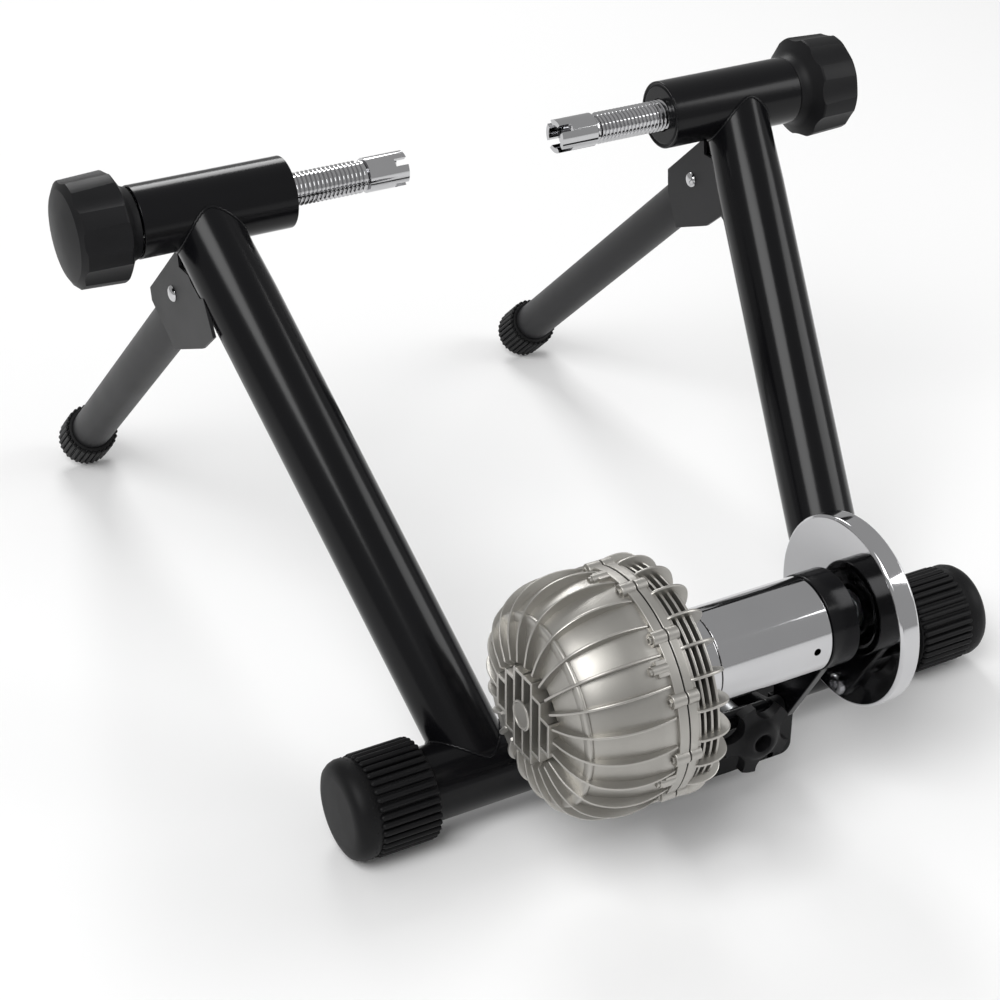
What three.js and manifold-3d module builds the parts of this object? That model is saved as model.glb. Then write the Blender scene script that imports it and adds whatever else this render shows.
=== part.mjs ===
// Folding wheel-on turbo trainer, in millimetres. +X runs along the base tube towards the flywheel,
// +Y runs back towards the folding legs and +Z is up.
import * as THREE from 'three';
import { mergeVertices } from 'three/addons/utils/BufferGeometryUtils.js';
import Module from 'manifold-3d';

const wasm = await Module();
wasm.setup();

// Clearances shared by all pieces
const gap = 0.3;
const overrun = 10;
const weldTolerance = 0.0005;

// Base tube and its ribbed rubber caps
const baseRadius = 25.4;
const tubeWall = 2;
const baseEndX = 249.2;
const capRadius = 35;
const capCoreRadius = 31.6;
const capInnerX = 194.5;
const capRibEndX = 240;
const capCollarX = 249;
const capCollarRadius = 33.2;
const capOuterX = 254;
const capFaceRadius = 28.5;
const capRibCount = 36;

// Uprights and the clamp tubes at their tops
const uprightRadius = 25;
const uprightFootX = 150;
const uprightTopX = 217.2;
const axleY = 273.7;
const axleZ = 344.8;
const clampRadius = 25;
const clampInnerX = 152.5;
const clampOuterX = 263;
const clampWall = 2.5;
const clampEndWall = 5;

// Clamp rods, cups, bushes and hand knobs
const rodRadius = 11.6;
const rodStartX = 92;
const rodInKnob = 26;
const bushLength = 34;
const bushSetback = 8;
const spigotRadius = 5;
const spigotHeadRadius = 7;
const spigotHeadLength = 4;
const cupTipX = 62;
const cupBackX = 91.2;
const cupRadius = 12.3;
const cupBore = 8.6;
const cupBackWall = 6.5;
const notchDepth = 9.5;
const notchWidth = 5.6;
const knobRadius = 38;
const knobFrontRadius = 36.5;
const knobClearance = 1;
const knobCollarLength = 6;
const knobFlareLength = 7;
const knobGripLength = 29.5;
const knobDomeLength = 7;
const knobCollarX = clampOuterX + knobClearance;
const knobBackX = knobCollarX + knobCollarLength;
const knobShoulderX = knobBackX + knobFlareLength;
const knobFrontX = knobShoulderX + knobGripLength;
const knobTopX = knobFrontX + knobDomeLength;
const knobCollarRadius = 24.5;
const knobNeckRadius = 27;
const knobDomeRadius = 31;
const knobTopRadius = 12;
const knobSides = 8;
const knobRidgeShare = 1 / 3;
const knobScoopShares = [0.935];
const knobClock = THREE.MathUtils.degToRad(-11.3);

// Leg brackets, legs and rubber feet
const legX = 213;
const legPivotY = 289;
const legPivotZ = 280;
const legSlope = THREE.MathUtils.degToRad(41.4);
const legRadius = 16.5;
const legWall = 2;
const legPinRadius = 5;
const legBushWall = 2;
const bracketInside = 17.2;
const bracketPlate = 2.5;
const pinHeadRadius = 7.5;
const bracketLidShares = [-2.2, 1.6];
const bracketOuterLidShare = 2.6;
const bracketInnerShares = [[2.27, 0.28], [2.67, -1.4], [0.13, -2.27], [-1.4, -2.33]];
const bracketOuterShares = [[2.9, 0.7], [2, -1.87], [-1.4, -2.93], [-3.05, -3]];
const bracketHighShare = 2.6;
const bracketFrontShare = 1.5;
const bracketLowShare = -0.7;
const bracketClearShare = 6;
const pinHead = 2.6;
const footRadius = 22;
const footCoreRadius = 19.6;
const footLength = 36;
const footEndWall = 4;
const footRibCount = 30;
const footOnFloor = (legPivotZ - footRadius * Math.cos(legSlope)) / Math.sin(legSlope);
const legLength = footOnFloor + footEndWall / 2;

// Roller, shaft and flywheel
const rollerY = -92.5;
const rollerZ = 142.7;
const rollerRadius = 31.4;
const rollerLeftX = -46.5;
const rollerRightX = 36.9;
const rollerWall = 4;
const rollerHub = 12;
const rollerWeb = 19;
const setScrewX = 25;
const setScrewRadius = 2.2;
const setScrewLength = 10;
const shaftRadius = 6;
const flywheelX = 65.5;
const flywheelThickness = 15;
const flywheelRadius = 64.5;
const flywheelChamfer = 1.6;
const flywheelHubRadius = 14;
const flywheelHub = 3;
const flywheelDish = 3;
const flywheelDishRadius = 50;
const boltHeadRadius = 9;
const boltHead = 6;

// Yoke that carries the turning parts, and its pivot
const pivotY = -73.2;
const pivotZ = 67.1;
const housingRadius = 32.2;
const housingStartX = 37.4;
const housingEndX = 57.5;
const housingRound = 2.5;
const rightCheekX = 38.2;
const rightCheek = 6;
const leftCheekX = -51.8;
const leftCheek = 4.3;
const leftCheekRadius = 30;
const cheekPivotRadius = 14;
const bearingRadius = 13;
const bearingWidth = 9;
const pivotBoltRadius = 4;
const pivotHeadRadius = 7.5;
const pivotHead = 4.5;
const pivotBushRadius = 6.5;

// Tail of the yoke, and the screw that presses on the base bracket
const tailFrontY = -62.5;
const tailPlate = 4;
const tailRightX = 58;
const tailBottomZ = 14;
const tailTopZ = 45;
const tailLugTopZ = 54;
const tailTabTopZ = 64;
const tailTabHalf = 12;
const screwX = 11.5;
const screwZ = 56.5;
const screwRadius = 3.5;
const collarRadius = 6;
const collar = 3;
const starFrontY = -93.5;
const starThickness = 13;
const starTipRadius = 26;
const starValleyRadius = 16.5;
const starLobes = 5;
const starTipShare = 0.3;
const starTipShares = [0.25, 0.5, 0.72, 0.9, 1, 1, 1, 0.9, 0.72, 0.5, 0.25, 0];
const starHub = 5;
const starHubRadius = 13;
const starPocketRadius = 6.5;
const starPocket = 3;
const thrustNutRadius = 7;
const thrustNutBase = 11.6;
const thrustRoom = 1.6;

// Bracket on the base tube
const earX = 29.5;
const earPlate = 4;
const earRadius = 7;
const earFootRadius = 20;
const sleeveRadius = 6.4;
const padPlateFrontY = -38;
const padPlate = 4;
const padPlateBottomZ = 26;
const padPlateTopZ = 62;

// Finned housing in two halves, listed from the seam outwards as places along X and radii
const seamX = -99.6;
const gasket = 1;
const seamRadius = 75.8;
const flangeWidth = 4.5;
const housingFins = 24;
const finThickness = 2.4;
const leftCoreProfile = [[-103, 72], [-126, 72.4], [-144, 66.5], [-157, 58], [-164, 40]];
const leftFinProfile = [[-103, 73.6], [-126, 76.8], [-146, 73.8], [-160, 64], [-169.5, 44]];
const endHubX = -164.6;
const endHubRadius = 34;
const leftEndX = -171.3;
const endRibReaches = [29.5, 29.5, 21.5, 12];
const endRibPitch = 10.2;
const endRib = 2.2;
const endBar = 2.6;
const endButtonRadius = 10;
const endButton = 4;
const endButtonProud = 1.5;
const rightCoreProfile = [[-98.5, 70.5], [-91, 69.5], [-79, 57], [-68, 47], [-60, 38], [-52.5, 33]];
const rightFinProfile = [[-98.5, 73.6], [-88, 78], [-77, 77.5], [-68, 71], [-65, 58], [-55, 38]];
const ringFinPlaces = [-86.4, -81.6, -76.8];
const ringFinRadius = 73.5;
const ringFinThickness = 1.8;
const cavityWall = 10;
const cavityRadius = leftCoreProfile[0][1] - cavityWall;
const cavityLeftX = -140;
const cavityRightX = -84;
const finClock = THREE.MathUtils.degToRad(14);
const seamBoltClock = THREE.MathUtils.degToRad(6);
const seamBolts = 12;
const seamBoltCircle = 73.8;
const seamBossRadius = 5.2;
const seamBossLeft = 10;
const seamBossRight = 8;
const seamBoltReach = 6;
const seamBoltRadius = 2.2;
const seamBoltHeadRadius = 3.8;
const seamBoltHead = 3.4;
const impellerClearance = 8;
const impellerRadius = cavityRadius - impellerClearance;
const impellerHub = 16;
const impellerX = -126;
const impellerDisc = 5;
const impellerBlade = 12;
const impellerBlades = 8;

// Roundness of the pieces
const tubeSides = 24;
const smallSides = 12;
const boltSides = 6;
const housingSides = 24;

// Looks
const glossBlack = { color: 0x0b0b0d, roughness: 0.28, metalness: 0.3 };
const satinBlack = { color: 0x1d1e20, roughness: 0.5, metalness: 0.3 };
const blackRubber = { color: 0x0d0d0e, roughness: 0.8, metalness: 0 };
const blackPlastic = { color: 0x111214, roughness: 0.45, metalness: 0 };
const chrome = { color: 0xd7d8da, roughness: 0.1, metalness: 1 };
const castMetal = { color: 0xa19c94, roughness: 0.4, metalness: 0.85 };
const plainSteel = { color: 0x9a9c9f, roughness: 0.4, metalness: 0.9 };

// A closed geometry as a solid, with its faces turned outwards.
function solidOf(geometry) {
  const bare = geometry.clone();
  bare.deleteAttribute('normal');
  bare.deleteAttribute('uv');
  const merged = mergeVertices(bare, weldTolerance);
  const corners = merged.index.array;
  const at = merged.attributes.position;
  const faces = [];
  let volume = 0;
  const [a, b, c] = [new THREE.Vector3(), new THREE.Vector3(), new THREE.Vector3()];
  for (let i = 0; i < corners.length; i += 3) {
    const [p, q, r] = [corners[i], corners[i + 1], corners[i + 2]];
    if (p === q || q === r || r === p) continue;
    a.fromBufferAttribute(at, p);
    b.fromBufferAttribute(at, q);
    c.fromBufferAttribute(at, r);
    volume += a.dot(b.cross(c));
    faces.push([p, q, r]);
  }
  const triVerts = Uint32Array.from(faces.flatMap(([p, q, r]) => (volume < 0 ? [p, r, q] : [p, q, r])));
  const vertProperties = Float32Array.from(at.array);
  return new wasm.Manifold(new wasm.Mesh({ numProp: 3, vertProperties, triVerts }));
}

function geometryOf(solid) {
  const mesh = solid.getMesh();
  const geometry = new THREE.BufferGeometry();
  geometry.setAttribute('position', new THREE.BufferAttribute(Float32Array.from(mesh.vertProperties), 3));
  geometry.setIndex(Array.from(mesh.triVerts));
  geometry.computeVertexNormals();
  return geometry;
}

function join(...geometries) {
  return geometryOf(geometries.map(solidOf).reduce((whole, next) => whole.add(next)));
}

function cut(geometry, ...tools) {
  return geometryOf(tools.map(solidOf).reduce((whole, next) => whole.subtract(next), solidOf(geometry)));
}

function common(first, second) {
  return geometryOf(solidOf(first).intersect(solidOf(second)));
}

// A solid turned about the X axis, from [place along X, radius] pairs that start and end on the axis.
function turned(profile, sides = tubeSides) {
  const points = profile.map(([x, radius]) => new THREE.Vector2(radius, x));
  return new THREE.LatheGeometry(points, sides).rotateZ(-Math.PI / 2);
}

// A turned ring or sleeve with a round bore, from the outside profile only.
function sleeve(profile, bore, sides = tubeSides) {
  const first = profile[0];
  const last = profile[profile.length - 1];
  return turned([[first[0], bore], ...profile, [last[0], bore], [first[0], bore]], sides);
}

function discX(fromX, toX, radius, sides = tubeSides) {
  return turned([[fromX, 0], [fromX, radius], [toX, radius], [toX, 0]], sides);
}

// A round bar between two points.
function bar(from, to, radius, sides = tubeSides) {
  const along = new THREE.Vector3().subVectors(to, from);
  const geometry = new THREE.CylinderGeometry(radius, radius, along.length(), sides);
  const turn = new THREE.Quaternion().setFromUnitVectors(new THREE.Vector3(0, 1, 0), along.clone().normalize());
  geometry.applyQuaternion(turn);
  return geometry.translate((from.x + to.x) / 2, (from.y + to.y) / 2, (from.z + to.z) / 2);
}

function box(low, high) {
  const size = high.map((value, axis) => value - low[axis]);
  const geometry = new THREE.BoxGeometry(...size);
  return geometry.translate(...high.map((value, axis) => (value + low[axis]) / 2));
}

function extruded(outline, holes, depth) {
  const shape = new THREE.Shape(outline.map(([u, v]) => new THREE.Vector2(u, v)));
  for (const hole of holes) shape.holes.push(new THREE.Path(hole.map(([u, v]) => new THREE.Vector2(u, v))));
  return new THREE.ExtrudeGeometry(shape, { depth, bevelEnabled: false, curveSegments: 1 });
}

// A plate square to X, from an outline of [y, z] points.
function plateX(outline, fromX, toX, holes = []) {
  const geometry = extruded(outline, holes, toX - fromX);
  const basis = new THREE.Matrix4().makeBasis(
    new THREE.Vector3(0, 1, 0),
    new THREE.Vector3(0, 0, 1),
    new THREE.Vector3(1, 0, 0),
  );
  return geometry.applyMatrix4(basis).translate(fromX, 0, 0);
}

// A plate square to Y, from an outline of [x, z] points.
function plateY(outline, fromY, toY, holes = []) {
  return extruded(outline, holes, toY - fromY).rotateX(Math.PI / 2).translate(0, toY, 0);
}

function circle(centre, radius, sides = smallSides) {
  const turn = (2 * Math.PI) / sides;
  return Array.from({ length: sides }, (_, i) => [
    centre[0] + radius * Math.cos(i * turn),
    centre[1] + radius * Math.sin(i * turn),
  ]);
}

// The outline of a strap stretched round two circles.
function strap(a, radiusA, b, radiusB, steps = smallSides / 2) {
  const heading = Math.atan2(b[1] - a[1], b[0] - a[0]);
  const reach = Math.acos((radiusA - radiusB) / Math.hypot(b[0] - a[0], b[1] - a[1]));
  const arc = (centre, radius, from, to) =>
    Array.from({ length: steps + 1 }, (_, i) => {
      const angle = from + ((to - from) * i) / steps;
      return [centre[0] + radius * Math.cos(angle), centre[1] + radius * Math.sin(angle)];
    });
  return [
    ...arc(a, radiusA, heading + reach, heading - reach + 2 * Math.PI),
    ...arc(b, radiusB, heading - reach, heading + reach),
  ];
}

// A round outline with pointed ribs.
function ribbed(count, tipRadius, valleyRadius) {
  const step = (2 * Math.PI) / count;
  const at = (radius, angle) => [radius * Math.cos(angle), radius * Math.sin(angle)];
  return Array.from({ length: count }, (_, i) => [
    at(valleyRadius, (i - 0.5) * step),
    at(tipRadius, i * step),
  ]).flat();
}

// A solid skinned over rings of [x, y, z] points, closed by a fan at each end.
function skinned(rings) {
  const count = rings[0].points.length;
  const positions = [];
  const faces = [];
  for (const { points } of rings) for (const point of points) positions.push(...point);
  rings.slice(1).forEach((_, ring) => {
    for (let i = 0; i < count; i += 1) {
      const next = (i + 1) % count;
      const low = ring * count;
      const high = low + count;
      faces.push(low + i, low + next, high + next, low + i, high + next, high + i);
    }
  });
  [0, rings.length - 1].forEach((ring, end) => {
    const centre = positions.length / 3;
    positions.push(rings[ring].centreX, 0, 0);
    for (let i = 0; i < count; i += 1) {
      const pair = [ring * count + i, ring * count + ((i + 1) % count)];
      faces.push(centre, ...(end === 0 ? pair.reverse() : pair));
    }
  });
  const geometry = new THREE.BufferGeometry();
  geometry.setAttribute('position', new THREE.Float32BufferAttribute(positions, 3));
  geometry.setIndex(faces);
  return geometry;
}

const machine = new THREE.Group();

function piece(name, geometry, look, parent = machine) {
  const mesh = new THREE.Mesh(geometryOf(solidOf(geometry)), new THREE.MeshStandardMaterial(look));
  mesh.name = name;
  parent.add(mesh);
  return mesh;
}

function groupAt(x, y, z, parent = machine) {
  const group = new THREE.Group();
  group.position.set(x, y, z);
  parent.add(group);
  return group;
}

const sides = [['left', -1], ['right', 1]];
const baseZ = capRadius;

// Base tube with its caps
function baseTubeAndCaps() {
  const tube = groupAt(0, 0, baseZ);
  piece('base_tube', sleeve([[-baseEndX, baseRadius], [baseEndX, baseRadius]], baseRadius - tubeWall), glossBlack, tube);
  const bore = baseRadius + gap;
  const end = cut(
    turned([
      [capRibEndX - gap, 0],
      [capRibEndX - gap, capCollarRadius - gap],
      [capCollarX, capCollarRadius],
      [capOuterX, capFaceRadius],
      [capOuterX, 0],
    ]),
    discX(capInnerX - overrun, baseEndX + gap, bore),
  );
  const ribs = plateX(ribbed(capRibCount, capRadius, capCoreRadius), capInnerX, capRibEndX, [
    circle([0, 0], bore / Math.cos(Math.PI / tubeSides), tubeSides),
  ]);
  const cap = join(end, ribs);
  for (const [name, side] of sides) {
    const turnedCap = piece(`${name}_end_cap`, cap, blackRubber, tube);
    turnedCap.rotation.z = side < 0 ? Math.PI : 0;
  }
}

// One upright, cut to sit round the base tube and the clamp tube
function uprightEnds(side) {
  return [
    new THREE.Vector3(side * uprightFootX, 0, baseZ),
    new THREE.Vector3(side * uprightTopX, axleY, axleZ),
  ];
}

function upright(name, side) {
  const [foot, top] = uprightEnds(side);
  const along = new THREE.Vector3().subVectors(top, foot).normalize().multiplyScalar(overrun);
  const tube = cut(
    bar(foot, top, uprightRadius),
    bar(foot.clone().sub(along), top.clone().add(along), uprightRadius - tubeWall),
    discX(-baseEndX, baseEndX, baseRadius + gap).translate(0, 0, baseZ),
    discX(-clampOuterX, clampOuterX, clampRadius + gap).translate(0, axleY, axleZ),
  );
  piece(`${name}_upright`, tube, glossBlack);
}

// Clamp tube, its threaded bush, the rod with its knob and the cup, all on the wheel's axle line
function knobRing(x, radius) {
  const period = (2 * Math.PI) / knobSides;
  const half = (period * (1 - knobRidgeShare)) / 2;
  const shares = [1, ...knobScoopShares, 1];
  const points = Array.from({ length: knobSides }, (_, i) =>
    shares.map((share, step) => {
      const angle = knobClock + i * period - half + (2 * half * step) / (shares.length - 1);
      return [x, radius * share * Math.cos(angle), radius * share * Math.sin(angle)];
    }),
  );
  return { centreX: x, points: points.flat() };
}

function knobShape() {
  const body = skinned([
    knobRing(knobCollarX, knobCollarRadius),
    knobRing(knobBackX, knobNeckRadius),
    knobRing(knobShoulderX, knobRadius),
    knobRing(knobFrontX, knobFrontRadius),
    knobRing((knobFrontX + knobTopX) / 2, knobDomeRadius),
    knobRing(knobTopX, knobTopRadius),
  ]);
  return cut(body, discX(knobCollarX - overrun, knobBackX + rodInKnob + gap, rodRadius + gap));
}

function cupShape() {
  const backWallX = cupBackX - cupBackWall;
  const cup = turned([
    [cupTipX, cupBore],
    [cupTipX, cupRadius],
    [cupBackX, cupRadius],
    [cupBackX, spigotRadius + gap],
    [backWallX, spigotRadius + gap],
    [backWallX, cupBore],
    [cupTipX, cupBore],
  ]);
  const half = notchWidth / 2;
  const slot = box([cupTipX - overrun, -cupRadius - overrun, -half], [cupTipX + notchDepth, cupRadius + overrun, half]);
  return cut(cup, slot.clone().rotateX(Math.PI / 4), slot.rotateX(-Math.PI / 4));
}

function rodShape() {
  const backWallX = cupBackX - cupBackWall;
  const headX = backWallX - gap;
  return turned([
    [headX - spigotHeadLength, 0],
    [headX - spigotHeadLength, spigotHeadRadius],
    [headX, spigotHeadRadius],
    [headX, spigotRadius],
    [rodStartX, spigotRadius],
    [rodStartX, rodRadius],
    [knobBackX + rodInKnob, rodRadius],
    [knobBackX + rodInKnob, 0],
  ]);
}

function clamp(name, side) {
  const line = groupAt(0, axleY, axleZ);
  line.rotation.z = side < 0 ? Math.PI : 0;
  const bore = clampRadius - clampWall;
  const tube = turned([
    [clampInnerX, rodRadius + 2 * gap],
    [clampInnerX, clampRadius],
    [clampOuterX, clampRadius],
    [clampOuterX, bore],
    [clampInnerX + clampEndWall, bore],
    [clampInnerX + clampEndWall, rodRadius + 2 * gap],
    [clampInnerX, rodRadius + 2 * gap],
  ]);
  piece(`${name}_clamp_tube`, tube, glossBlack, line);
  const bushEnd = clampOuterX - bushSetback;
  const bush = sleeve([[bushEnd - bushLength, bore - gap], [bushEnd, bore - gap]], rodRadius + gap);
  piece(`${name}_threaded_bush`, bush, plainSteel, line);
  piece(`${name}_clamp_rod`, rodShape(), chrome, line);
  piece(`${name}_axle_cup`, cupShape(), chrome, line);
  piece(`${name}_knob`, knobShape(), blackPlastic, line);
}

// Leg bracket, shaped by the leg's pivot and the upright that it is welded to
function legBracket(name, side) {
  const [foot, top] = uprightEnds(side);
  const down = [Math.cos(legSlope), -Math.sin(legSlope)];
  const up = [Math.sin(legSlope), Math.cos(legSlope)];
  const from = (along, across) => [
    legPivotY + along * down[0] + across * up[0],
    legPivotZ + along * down[1] + across * up[1],
  ];
  const lid = legRadius + 2 * gap + bracketPlate;
  const slope = [axleY, axleZ - baseZ];
  const backOff = uprightRadius / Math.hypot(...slope);
  const onUpright = (height) => {
    const share = (height - baseZ) / slope[1];
    return [slope[0] * share + backOff * slope[1], height - backOff * slope[0]];
  };
  const highEnd = onUpright(legPivotZ + bracketHighShare * legRadius);
  const lowEnd = onUpright(legPivotZ + bracketLowShare * legRadius);
  const corners = (shares) => shares.map(([along, across]) => from(along * legRadius, across * legRadius));
  const [lidTop, lidEnd] = bracketLidShares;
  const innerOutline = [
    from(lidTop * legRadius, lid),
    from(lidEnd * legRadius, lid),
    ...corners(bracketInnerShares),
    lowEnd,
    [lowEnd[0] - uprightRadius, lowEnd[1] + uprightRadius / 2],
    [highEnd[0] - uprightRadius, highEnd[1]],
    highEnd,
  ];
  const outerOutline = [
    from(lidTop * legRadius, lid),
    from(bracketOuterLidShare * legRadius, lid),
    ...corners(bracketOuterShares),
    [highEnd[0] - bracketFrontShare * uprightRadius, highEnd[1]],
    highEnd,
  ];
  const outer = bracketInside + bracketPlate;
  const clear = bracketClearShare * legRadius;
  const middle = side * legX;
  const spread = (near, far) => [middle + side * near, middle + side * far].sort((a, b) => a - b);
  const cheeks = join(
    plateX(innerOutline, ...spread(-outer, bracketInside)),
    plateX(outerOutline, ...spread(bracketInside, outer)),
  );
  const lidSpan = plateX(
    [from(-clear, lid - bracketPlate), from(clear, lid - bracketPlate), from(clear, -clear), from(-clear, -clear)],
    middle - bracketInside,
    middle + bracketInside,
  );
  const pinHole = discX(middle - outer - overrun, middle + outer + overrun, legPinRadius + gap, smallSides);
  const bracket = cut(
    cheeks,
    lidSpan,
    bar(foot, top, uprightRadius + gap),
    discX(-clampOuterX - overrun, clampOuterX + overrun, clampRadius + gap).translate(0, axleY, axleZ),
    pinHole.translate(0, legPivotY, legPivotZ),
  );
  piece(`${name}_leg_bracket`, bracket, satinBlack);
  const headX = outer + gap;
  const pin = turned([
    [-headX - pinHead, 0],
    [-headX - pinHead, pinHeadRadius - pinHead],
    [-headX, pinHeadRadius],
    [-headX, legPinRadius],
    [headX, legPinRadius],
    [headX, pinHeadRadius],
    [headX + pinHead, pinHeadRadius - pinHead],
    [headX + pinHead, 0],
  ], smallSides);
  piece(`${name}_leg_pin`, pin.translate(side * legX, legPivotY, legPivotZ), plainSteel);
}

// Leg tube with a rounded head on its pivot, a bush in the head and a ribbed foot
function leg(name, side) {
  const line = groupAt(side * legX, legPivotY, legPivotZ);
  line.rotation.x = -legSlope;
  const along = (distance) => new THREE.Vector3(0, distance, 0);
  const tube = bar(along(-legRadius - overrun), along(legLength - footEndWall - gap), legRadius);
  const silhouette = plateX(strap([0, 0], legRadius, [legLength + overrun, 0], legRadius + gap), -legRadius - gap, legRadius + gap);
  const bushRadius = legPinRadius + gap + legBushWall;
  const bored = cut(
    common(tube, silhouette),
    bar(along(bushRadius + legWall * 2), along(legLength + overrun), legRadius - legWall),
    discX(-legRadius - overrun, legRadius + overrun, bushRadius + gap, smallSides),
  );
  piece(`${name}_leg`, bored, satinBlack, line);
  const bush = sleeve([[-bracketInside + gap, bushRadius], [bracketInside - gap, bushRadius]], legPinRadius + gap, smallSides);
  piece(`${name}_leg_bush`, bush, plainSteel, line);
  const footStart = legLength - footLength;
  const ribs = extruded(ribbed(footRibCount, footRadius, footCoreRadius), [], footLength - footEndWall / 2)
    .rotateX(-Math.PI / 2)
    .translate(0, footStart, 0);
  const sole = bar(along(legLength - footEndWall), along(legLength), footCoreRadius);
  const foot = cut(join(sole, ribs), bar(along(footStart - overrun), along(legLength - footEndWall), legRadius + gap));
  piece(`${name}_foot`, foot, blackRubber, line);
}

const pivotInUnit = [pivotY - rollerY, pivotZ - rollerZ];

// Yoke: two cheeks that hold the roller, a bearing housing and the tail plate with the screw's hole
function yokeShape() {
  const rightOuter = rightCheekX + rightCheek;
  const leftOuter = leftCheekX;
  const tailY = tailFrontY - rollerY;
  const cheek = (fromX, toX, hubRadius) => join(
    plateX(strap([0, 0], hubRadius, pivotInUnit, cheekPivotRadius), fromX, toX),
    box([fromX, tailY, tailBottomZ - rollerZ], [toX, tailY + tailPlate, pivotZ - rollerZ]),
  );
  const housing = turned([
    [housingStartX, 0],
    [housingStartX, housingRadius],
    [housingEndX - housingRound, housingRadius],
    [housingEndX, housingRadius - housingRound],
    [housingEndX, 0],
  ]);
  const tail = box(
    [leftOuter, tailY, tailBottomZ - rollerZ],
    [tailRightX, tailY + tailPlate, tailTopZ - rollerZ],
  );
  const lug = box(
    [rightCheekX, tailY, tailBottomZ - rollerZ],
    [tailRightX, tailY + tailPlate, tailLugTopZ - rollerZ],
  );
  const tab = box(
    [screwX - tailTabHalf, tailY, tailBottomZ - rollerZ],
    [screwX + tailTabHalf, tailY + tailPlate, tailTabTopZ - rollerZ],
  );
  const across = [leftOuter - overrun, housingEndX + overrun];
  const screwHole = bar(
    new THREE.Vector3(screwX, tailY - overrun, screwZ - rollerZ),
    new THREE.Vector3(screwX, tailY + tailPlate + overrun, screwZ - rollerZ),
    screwRadius + gap,
    smallSides,
  );
  return cut(
    join(
      cheek(rightCheekX, rightOuter, housingRadius - housingRound),
      cheek(leftOuter, leftOuter + leftCheek, leftCheekRadius),
      housing,
      tail,
      lug,
      tab,
    ),
    discX(...across, shaftRadius + 4 * gap, smallSides),
    discX(housingEndX - bearingWidth - gap, housingEndX + overrun, bearingRadius + gap),
    discX(leftOuter - overrun, leftOuter + leftCheek + overrun, bearingRadius + gap),
    discX(...across, pivotBoltRadius + gap, smallSides).translate(0, ...pivotInUnit),
    screwHole,
  );
}

function bearing(fromX, toX) {
  return sleeve([[fromX, bearingRadius], [toX, bearingRadius]], shaftRadius + gap);
}

// A bowl with lengthwise fins, skinned over the two profiles at once. A clock angle runs from +Z to -Y.
function finned(coreProfile, finProfile, count) {
  const turn = (2 * Math.PI) / count;
  const at = ([x, radius], angle, side) => {
    const spread = angle + side * Math.asin(finThickness / 2 / radius);
    return [x, -radius * Math.sin(spread), radius * Math.cos(spread)];
  };
  const rings = coreProfile.map((core, station) => ({
    centreX: core[0],
    points: Array.from({ length: count }, (_, i) => {
      const angle = finClock + i * turn;
      const tip = finProfile[station];
      return [at(core, angle, -1), at(tip, angle, -1), at(tip, angle, 1), at(core, angle, 1)];
    }).flat(),
  }));
  return skinned(rings);
}

function seamCircle(clock) {
  return [seamBoltCircle * -Math.sin(clock), seamBoltCircle * Math.cos(clock)];
}

function seamClocks() {
  return Array.from({ length: seamBolts }, (_, i) => seamBoltClock + (i * 2 * Math.PI) / seamBolts);
}

function seamBosses(fromX, toX) {
  return seamClocks().map((clock) => discX(fromX, toX, seamBossRadius, boltSides).translate(0, ...seamCircle(clock)));
}

// Holes for the seam bolts, widened past the bosses to make room for the heads
function boltHoles() {
  const faceX = seamX - gasket / 2 - gap - seamBossLeft;
  const wide = seamBoltHeadRadius + gap;
  const hole = turned([
    [faceX - seamBoltHead - overrun, 0],
    [faceX - seamBoltHead - overrun, wide],
    [faceX, wide],
    [faceX, seamBoltRadius + gap],
    [seamX + seamBoltReach + gap, seamBoltRadius + gap],
    [seamX + seamBoltReach + gap, 0],
  ], boltSides);
  return seamClocks().map((clock) => hole.clone().translate(0, ...seamCircle(clock)));
}

// Upright ribs on the left end, stepped round its middle, with short bars between their tips
function endFrame() {
  const toX = endHubX + gap;
  const half = endRib / 2;
  const ribs = [];
  endRibReaches.forEach((reach, i) => {
    for (const side of i > 0 ? [-1, 1] : [1]) {
      const y = side * i * endRibPitch;
      ribs.push(box([leftEndX, y - half, -reach], [toX, y + half, reach]));
    }
    if (i > 0) {
      const [near, far] = [(i - 1) * endRibPitch, i * endRibPitch];
      for (const up of [reach - endBar, -reach]) {
        ribs.push(box([leftEndX, near, up], [toX, far, up + endBar]));
        ribs.push(box([leftEndX, -far, up], [toX, -near, up + endBar]));
      }
    }
  });
  return join(...ribs);
}

// Left half of the housing: a bowl with lengthwise fins and a stepped frame of upright ribs on its end
function leftHalf() {
  const faceX = seamX - gasket / 2 - gap;
  const flange = discX(faceX - flangeWidth, faceX, seamRadius, housingSides);
  const bowl = finned(leftCoreProfile, leftFinProfile, housingFins);
  const rootX = leftCoreProfile[leftCoreProfile.length - 2][0];
  const hub = discX(endHubX, rootX, endHubRadius, housingSides);
  const cavity = discX(cavityLeftX, faceX + overrun, cavityRadius, housingSides);
  const socket = discX(leftEndX - overrun, leftEndX + endButton + gap, endButtonRadius + gap, 2 * smallSides);
  const bosses = seamBosses(faceX - seamBossLeft, faceX);
  return cut(join(flange, bowl, hub, endFrame(), ...bosses), cavity, socket, ...boltHoles());
}

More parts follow.
